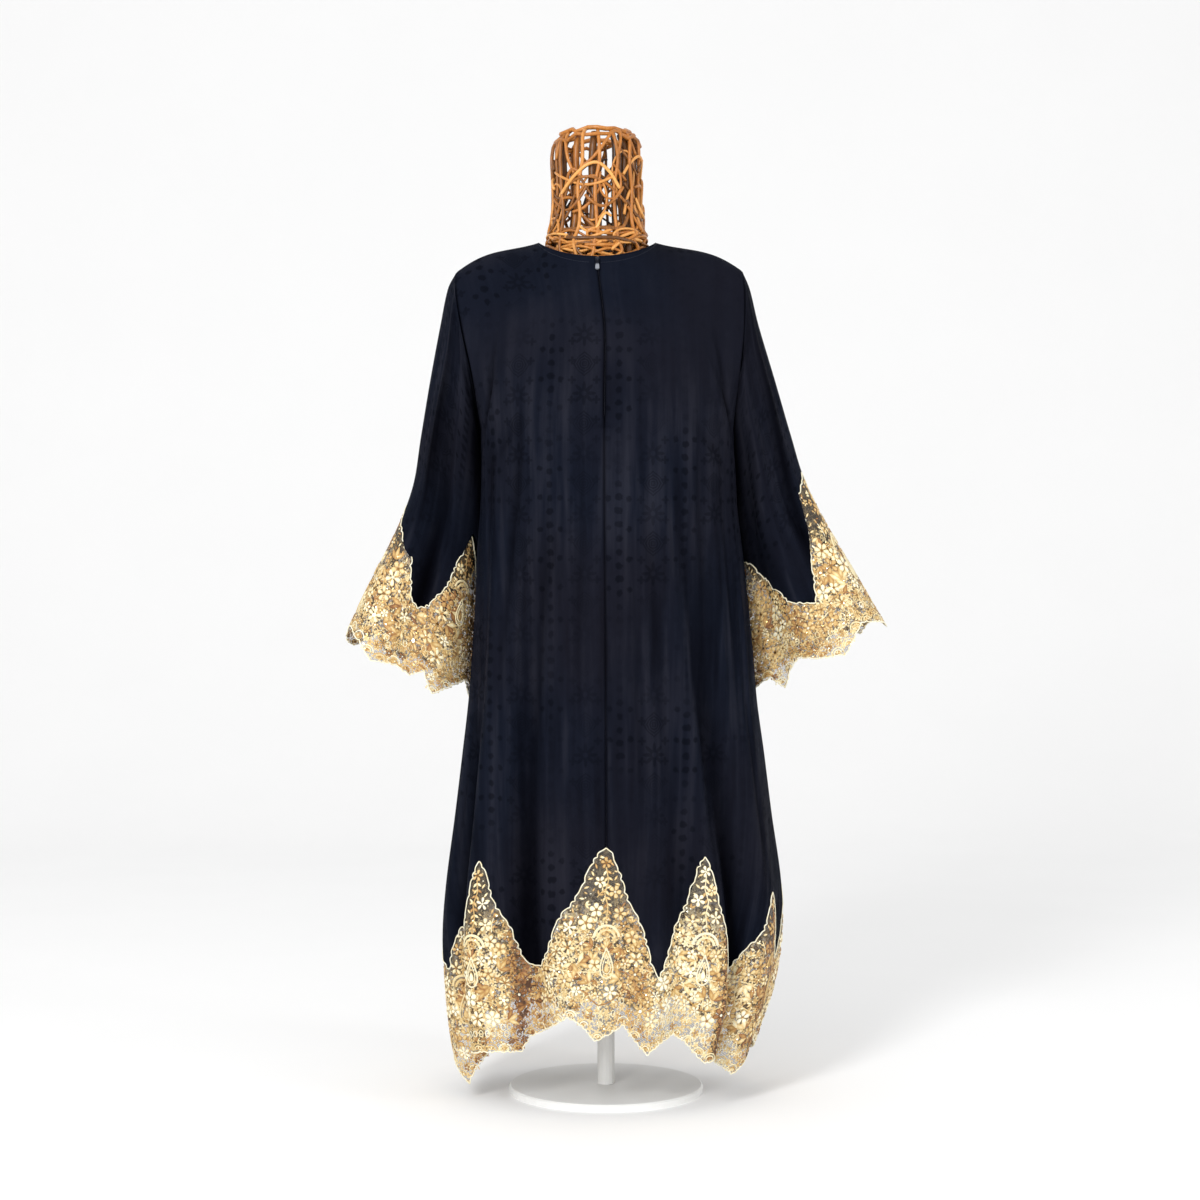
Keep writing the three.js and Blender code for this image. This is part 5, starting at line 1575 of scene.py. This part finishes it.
def cuff_border(part, side, warm_base):
    lace, gathered, cords = cuff_lace(side), Gathered(), Gathered()
    warm = warmth(lace, CUFF_PAINTED_SHADING, warm_base, 0)
    needle = Needle(lace, lambda u, v: gathered, warm)
    embroider(needle, [0.9] * 4, ((58, 66, 8.5),), (12000, 1.25), 1500)
    upper = line_of(lace, CUFF_ZIGZAG[side], "f", -SLEEVE_LENGTH, 24, ZIGZAG_STEPS)
    lower = line_of(lace, CUFF_EDGE[side], "f", -SLEEVE_LENGTH, 10)
    edge_cord(lace, upper, 0.4, (2.8, 19), 0.95, lace.peaks, cords)
    edge_cord(lace, lower, 0.0, (-2.2, 10), 1.0, (), cords)
    corners = [*CUFF_ZIGZAG[side]["at"], *CUFF_EDGE[side]["at"]]
    net = net_piece(f"cuff_net_{part}", lace, warm, 0, 360, 4.0, corners, 18)
    lace_pieces("cuff", part, net, gathered, cords, lace)


hem_border()
cuff_border("right", "minusX", 0.05)
cuff_border("left", "plusX", 0.02)

# ---- The woven cane form -------------------------------------------------------------------------

NECK_RINGS = table(
    "w radius z",
    (1.0, 73, 1240),
    (1.1, 70.5, 1254),
    (1.3, 67.5, 1280),
    (1.6, 66.5, 1322),
    (1.8, 67, 1350),
    (1.92, 64, 1370),
    (1.98, 57, 1381),
    (2.0, 50, 1384.5),
)
NECK_Y = -8
NECK_FOOT_HALF, NECK_FOOT_TOP, NECK_FOOT_Y, NECK_FOOT_Z = 76, 1221, (-81, 61), (1186, 1219)


def neck(around, w, inset=0.0):
    """The form's neck: w 0 is the neckline, 1 the foot of the neck, 2 its rim."""
    around, w = same_shape(around, w)
    c, s = cos_sin(around)
    level = np.abs(c)
    low_y = mix(SHOULDER_Y, np.where(c > 0, *NECK_FOOT_Y), level)
    low_z = mix(NECK_FOOT_TOP, np.where(c > 0, *NECK_FOOT_Z), level**NECK_DIP)
    low = stack(NECK_X + (NECK_FOOT_HALF - inset) * s, low_y + inset * c, low_z)
    ring = np.maximum(w, 1)
    radius = smooth(NECK_RINGS, "w", "radius", ring) - inset
    high = stack(NECK_X + radius * s, NECK_Y - radius * c, smooth(NECK_RINGS, "w", "z", ring))
    return mix(low, high, (clamp01(w) ** 0.8)[..., None])


def drawn(value):
    """A number as it is, or one drawn from a range."""
    return rng.uniform(*value) if isinstance(value, tuple) else value


def cane_along(gathered, around, w, radius, inset, tone, wobble=0.0):
    """One cane through places (around, w) of the neck. Its measures may be ranges."""
    radius, inset, tone = (drawn(value) for value in (radius, inset, tone))
    around, w = np.asarray(around, float), np.asarray(w, float)
    share = np.linspace(0, 1, len(around))
    fine = np.linspace(0, 1, max(10, 5 * len(around)))
    rows = table("k a w", *zip(share, around, w))
    a, h = smooth(rows, "k", "a", fine), smooth(rows, "k", "w", fine)
    depth = inset + wobble * np.sin(fine * 9 + rng.uniform(0, 6))
    line = neck(a, np.minimum(h, 2.0), depth)
    line[:, 2] -= np.minimum(depth, 6) * (h > 1.9) * 0.5
    gathered.cord(line, radius, 7, tone)


POSTS = (  # turn and radius
    (-33, 4.6), (-6, 5.6), (27, 4.4), (47, 5.8), (66, 4.8), (-62, 4.6),
    (104, 4.6), (140, 5.4), (178, 5.0), (218, 5.4), (262, 4.6),
)
UPRIGHT_EVERY = 24  # degrees
BENT_CANES, LOOPED_CANES, INNER_CANES = 92, 22, 22


def neck_weave():
    """Upright canes, posts inside them, and thin canes curled across them in arcs and loops."""
    gathered = Gathered()
    # The posts sit inside the uprights; their darker tones are partly painted shade of the neck's
    # inside, on top of their own random tone.
    for at, radius in POSTS:
        around, w = at + rng.normal(0, 1, 7), np.linspace(-0.1, 1.97, 7)
        cane_along(gathered, around, w, radius, 13, (0.3, 0.62))
    for at in np.arange(0, 360, UPRIGHT_EVERY):
        lean = rng.normal(0, 6)
        around = at + lean * np.linspace(-1, 1, 8) + rng.normal(0, 2.6, 8)
        w = np.linspace(-0.05, 2.0, 8)
        cane_along(gathered, around, w, (2.1, 2.9), (2.5, 6), (0.4, 0.85), 1.0)
    share = np.linspace(0, 1, 7)
    for _ in range(BENT_CANES):
        start, height = rng.uniform(0, 360), rng.uniform(0.1, 1.85)
        around = start + rng.uniform(36, 96) * rng.choice([-1, 1]) * share
        rise, bow = rng.normal(0, 0.2), rng.choice([-1, 1]) * rng.uniform(0.08, 0.3)
        curl = rng.normal(0, 0.06) * np.sin(2 * np.pi * share)
        w = np.clip(height + rise * share + bow * np.sin(np.pi * share) + curl, 0.05, 1.98)
        cane_along(gathered, around, w, (1.9, 2.6), (1.8, 6.5), (0.4, 1.0), 1.4)
    share = np.linspace(0, 1, 9)
    for _ in range(LOOPED_CANES):
        middle, height = rng.uniform(0, 360), rng.uniform(0.3, 1.6)
        spin = share * rng.uniform(1.2, 1.9) * np.pi + rng.uniform(0, 6)
        size = rng.uniform(12, 24)
        around = middle + size * np.cos(spin)
        w = np.clip(height + size * 0.0125 * np.sin(spin), 0.05, 1.97)
        cane_along(gathered, around, w, (1.5, 2.1), (2, 6), (0.45, 0.95), 0.8)
    # Thin canes deep inside the neck, near black: painted shade of the neck's inside.
    share = np.linspace(0, 1, 6)
    for _ in range(INNER_CANES):
        bow = rng.normal(0, 0.3) * np.sin(np.pi * share)
        around = rng.uniform(0, 360) + rng.uniform(-70, 70) * share
        w = np.clip(rng.uniform(0.2, 1.8) + rng.normal(0, 0.3) * share + bow, 0.05, 1.95)
        cane_along(gathered, around, w, 1.4, (13, 20), (0.0, 0.15), 1.0)
    for w, radius, inset in ((1.99, 3.4, 3), (1.93, 2.8, 3), (0.95, 2.4, 5), (0.12, 2.6, 3)):
        around = np.linspace(0, 360, 25)[:-1] + rng.normal(0, 1, 24)
        line = neck(around, w + rng.normal(0, 0.02, 24), inset)
        gathered.cord(line, radius, 7, rng.uniform(0.4, 0.8), closed=True)
    return gathered.mesh("form_neck_canes", [CANE])


FORM_SECTIONS = table(
    "z minusX plusX front back",
    (957, 172, 176, 118, 98),
    (900, 158, 162, 110, 90),
    (830, 138, 142, 94, 84),
    (760, 150, 154, 98, 92),
    (690, 166, 170, 104, 104),
    (640, 168, 172, 104, 106),
    (602, 162, 166, 100, 102),
)
TRUNK_LOW, TRUNK_DROP = 606, 9
TRUNK_CANES = 110
SPOKE_X, SPOKE_Y, SPOKE_Z = 158, 96, 608  # the wires that cross its lower rim
TRUNK_DEPTH = 0.84  # the canes stay this share of the cloth's depth inside the shoulders


def trunk(angle, v, inset):
    """The form's trunk: v 0 to 1 under the shoulders, 1 to 2 down to its lower rim."""
    angle, v = same_shape(angle, v)
    side, above = turn(0, angle), v < 1
    upper = shoulder(side, clamp01(v))
    upper[..., 1] = mix(SHOULDER_Y, upper[..., 1], TRUNK_DEPTH)
    c, s = cos_sin(side)
    low_z = mix(UNDERARM, TRUNK_LOW, clamp01(v - 1))
    reach = by_side(side, FORM_SECTIONS, "z", low_z)
    depth = front_or_back(c >= 0, FORM_SECTIONS, low_z)
    lower = stack(reach * power(s, 0.9), -depth * power(c, 0.9), low_z)
    centre = stack(NECK_X * (1 - v) * above, 0, np.where(above, upper[..., 2], low_z))
    point = np.where(above[..., None], upper, lower)
    drop = stack(0, 0, -np.where(above, TRUNK_DROP * (1 - v), 0))
    return point + unit(centre - point) * np.broadcast_to(inset, v.shape)[..., None] + drop


def trunk_weave():
    gathered = Gathered()
    for angle in np.arange(-172.5, 180, 15):
        v = np.concatenate([np.linspace(0.06, 1, 14), np.linspace(1.03, 2, 14)])
        line = trunk(angle, v, np.where(v < 1, 10, 4.0))
        gathered.cord(line, 3.2, 6, rng.uniform(0.3, 0.7))
    for v in (1.02, 1.25, 1.5, 1.75, 1.99):
        line = trunk(np.linspace(-180, 180, 49)[:-1], v, 5.0)
        gathered.cord(line, 3.4, 6, rng.uniform(0.3, 0.7), closed=True)
    share = np.linspace(0, 1, 14)
    for _ in range(TRUNK_CANES):
        angle = rng.uniform(-180, 180) + rng.uniform(25, 80) * share
        v = rng.uniform(1.05, 1.9) + rng.normal(0, 0.12) * share
        v = np.clip(v + rng.normal(0, 0.08) * np.sin(np.pi * share), 1.02, 1.98)
        line = trunk(angle, v, rng.uniform(5, 9))
        gathered.cord(line, 2.2, 5, rng.uniform(0.3, 0.8))
    for spoke in range(0, 180, 30):
        (c, s), reach = cos_sin(spoke), np.linspace(-1, 1, 9)
        line = stack(SPOKE_X * reach * c, SPOKE_Y * reach * s, SPOKE_Z)
        gathered.cord(line, 3.4, 6, 0.45)
    return gathered.mesh("form_torso_canes", [CANE])


dressed(neck_weave(), "rattan", "form_neck")
dressed(trunk_weave(), "rattan", "form_torso")

# ---- Sewing and fastenings -----------------------------------------------------------------------


def neckline_edge():
    """The turned edge round the neckline."""
    gathered = Gathered()
    angle = np.linspace(-NECK_COLUMNS, NECK_COLUMNS, 60)
    for half, back in ((angle[:30], False), (angle[30:], False), (angle + 180, True)):
        gathered.cord(shoulder(half, 0.004, back), 1.25, 8, 0.5)
    return gathered.mesh("neckline_edge", [JACQUARD])


STITCH_LINE = 0.055  # share of the shoulder's length below the neckline
STITCH_EVERY, STITCH_LENGTH, STITCH_RADIUS, STITCH_LIFT = 3.6, 2.5, 0.28, 0.5
COIL_TURNS, COIL_BEHIND = 190, 1.15


def stitch_run(gathered, line):
    """Short stitches along a line of points that lies on the cloth."""
    run = along_line(line)
    for start in np.arange(0, run[-1] - STITCH_LENGTH, STITCH_EVERY):
        places = start + STITCH_LENGTH * np.array([0, 0.25, 0.75, 1.0])
        path = np.stack([np.interp(places, run, line[:, k]) for k in range(3)], axis=1)
        gathered.cord(path, STITCH_RADIUS * np.array([0.4, 1, 1, 0.4]), 5, 0.6)


def neck_stitches():
    gathered = Gathered()
    for back, start, end in ((False, -29, -1), (False, 1, 29), (True, 151, 209)):
        angle = np.linspace(start, end, 60)
        line = shoulder(angle, STITCH_LINE, back)
        ahead = shoulder(angle, STITCH_LINE + 0.01, back)
        side = shoulder(angle + 0.2, STITCH_LINE, back)
        stitch_run(gathered, line + unit(np.cross(ahead - line, side - line)) * STITCH_LIFT)
    return gathered.mesh("neckline_stitches", [NAVY_THREAD])


def zip_coil():
    """The concealed zip's coil, behind the meeting front edges."""
    gathered = Gathered()
    for t in np.linspace(0.05, 0.985, COIL_TURNS):
        x, y, z = shoulder(0.0, t, False)
        for way in (-1, 1):
            line = stack(x + way * np.linspace(-0.8, 2.2, 4), y + COIL_BEHIND, z)
            gathered.cord(line, 0.42, 5, 0.4)
    return gathered.mesh("zip_coil", [NAVY_THREAD])


dressed(neckline_edge(), "navy_jacquard")
dressed(neck_stitches(), "navy_jacquard")
dressed(zip_coil(), "zip_tape")


def finish_node(name, material):
    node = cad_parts[name]
    node.data.materials.clear()
    node.data.materials.append(material)


finish_node("zip_tape", woven_tape())
finish_node("zip_slider", STEEL)
finish_node("zip_pull_tab", lacquer_with_painted_glint("zip_pull_tab"))
for name in ("stand_pole", "stand_base"):
    finish_node(name, PAINT)

# ---- The cut of each sheet -----------------------------------------------------------------------

CUTS = (
    ("front_right", (0.37, 1.14), 0.27, "form_torso_canes"),
    ("front_left", (0.37, 1.14), 0.28, "form_torso_canes"),
    ("back", (0.72, 1.17), 0.53, "form_torso_canes"),
    ("sleeve_right", (0.36, 0.52), 0.13, "front_right_cloth"),
    ("sleeve_left", (0.36, 0.52), 0.13, "front_left_cloth"),
    ("hem_lace_front", (0.72, 0.34), 0.13, "form_torso_canes"),
    ("hem_lace_back", (0.72, 0.34), 0.13, "form_torso_canes"),
    ("cuff_lace_right", (0.52, 0.27), 0.09, "sleeve_right_cloth"),
    ("cuff_lace_left", (0.52, 0.27), 0.09, "sleeve_left_cloth"),
)
for node, flat, area, support in CUTS:
    names = [node.replace("lace", kind) for kind in ("embroidery", "cord") if "lace" in node]
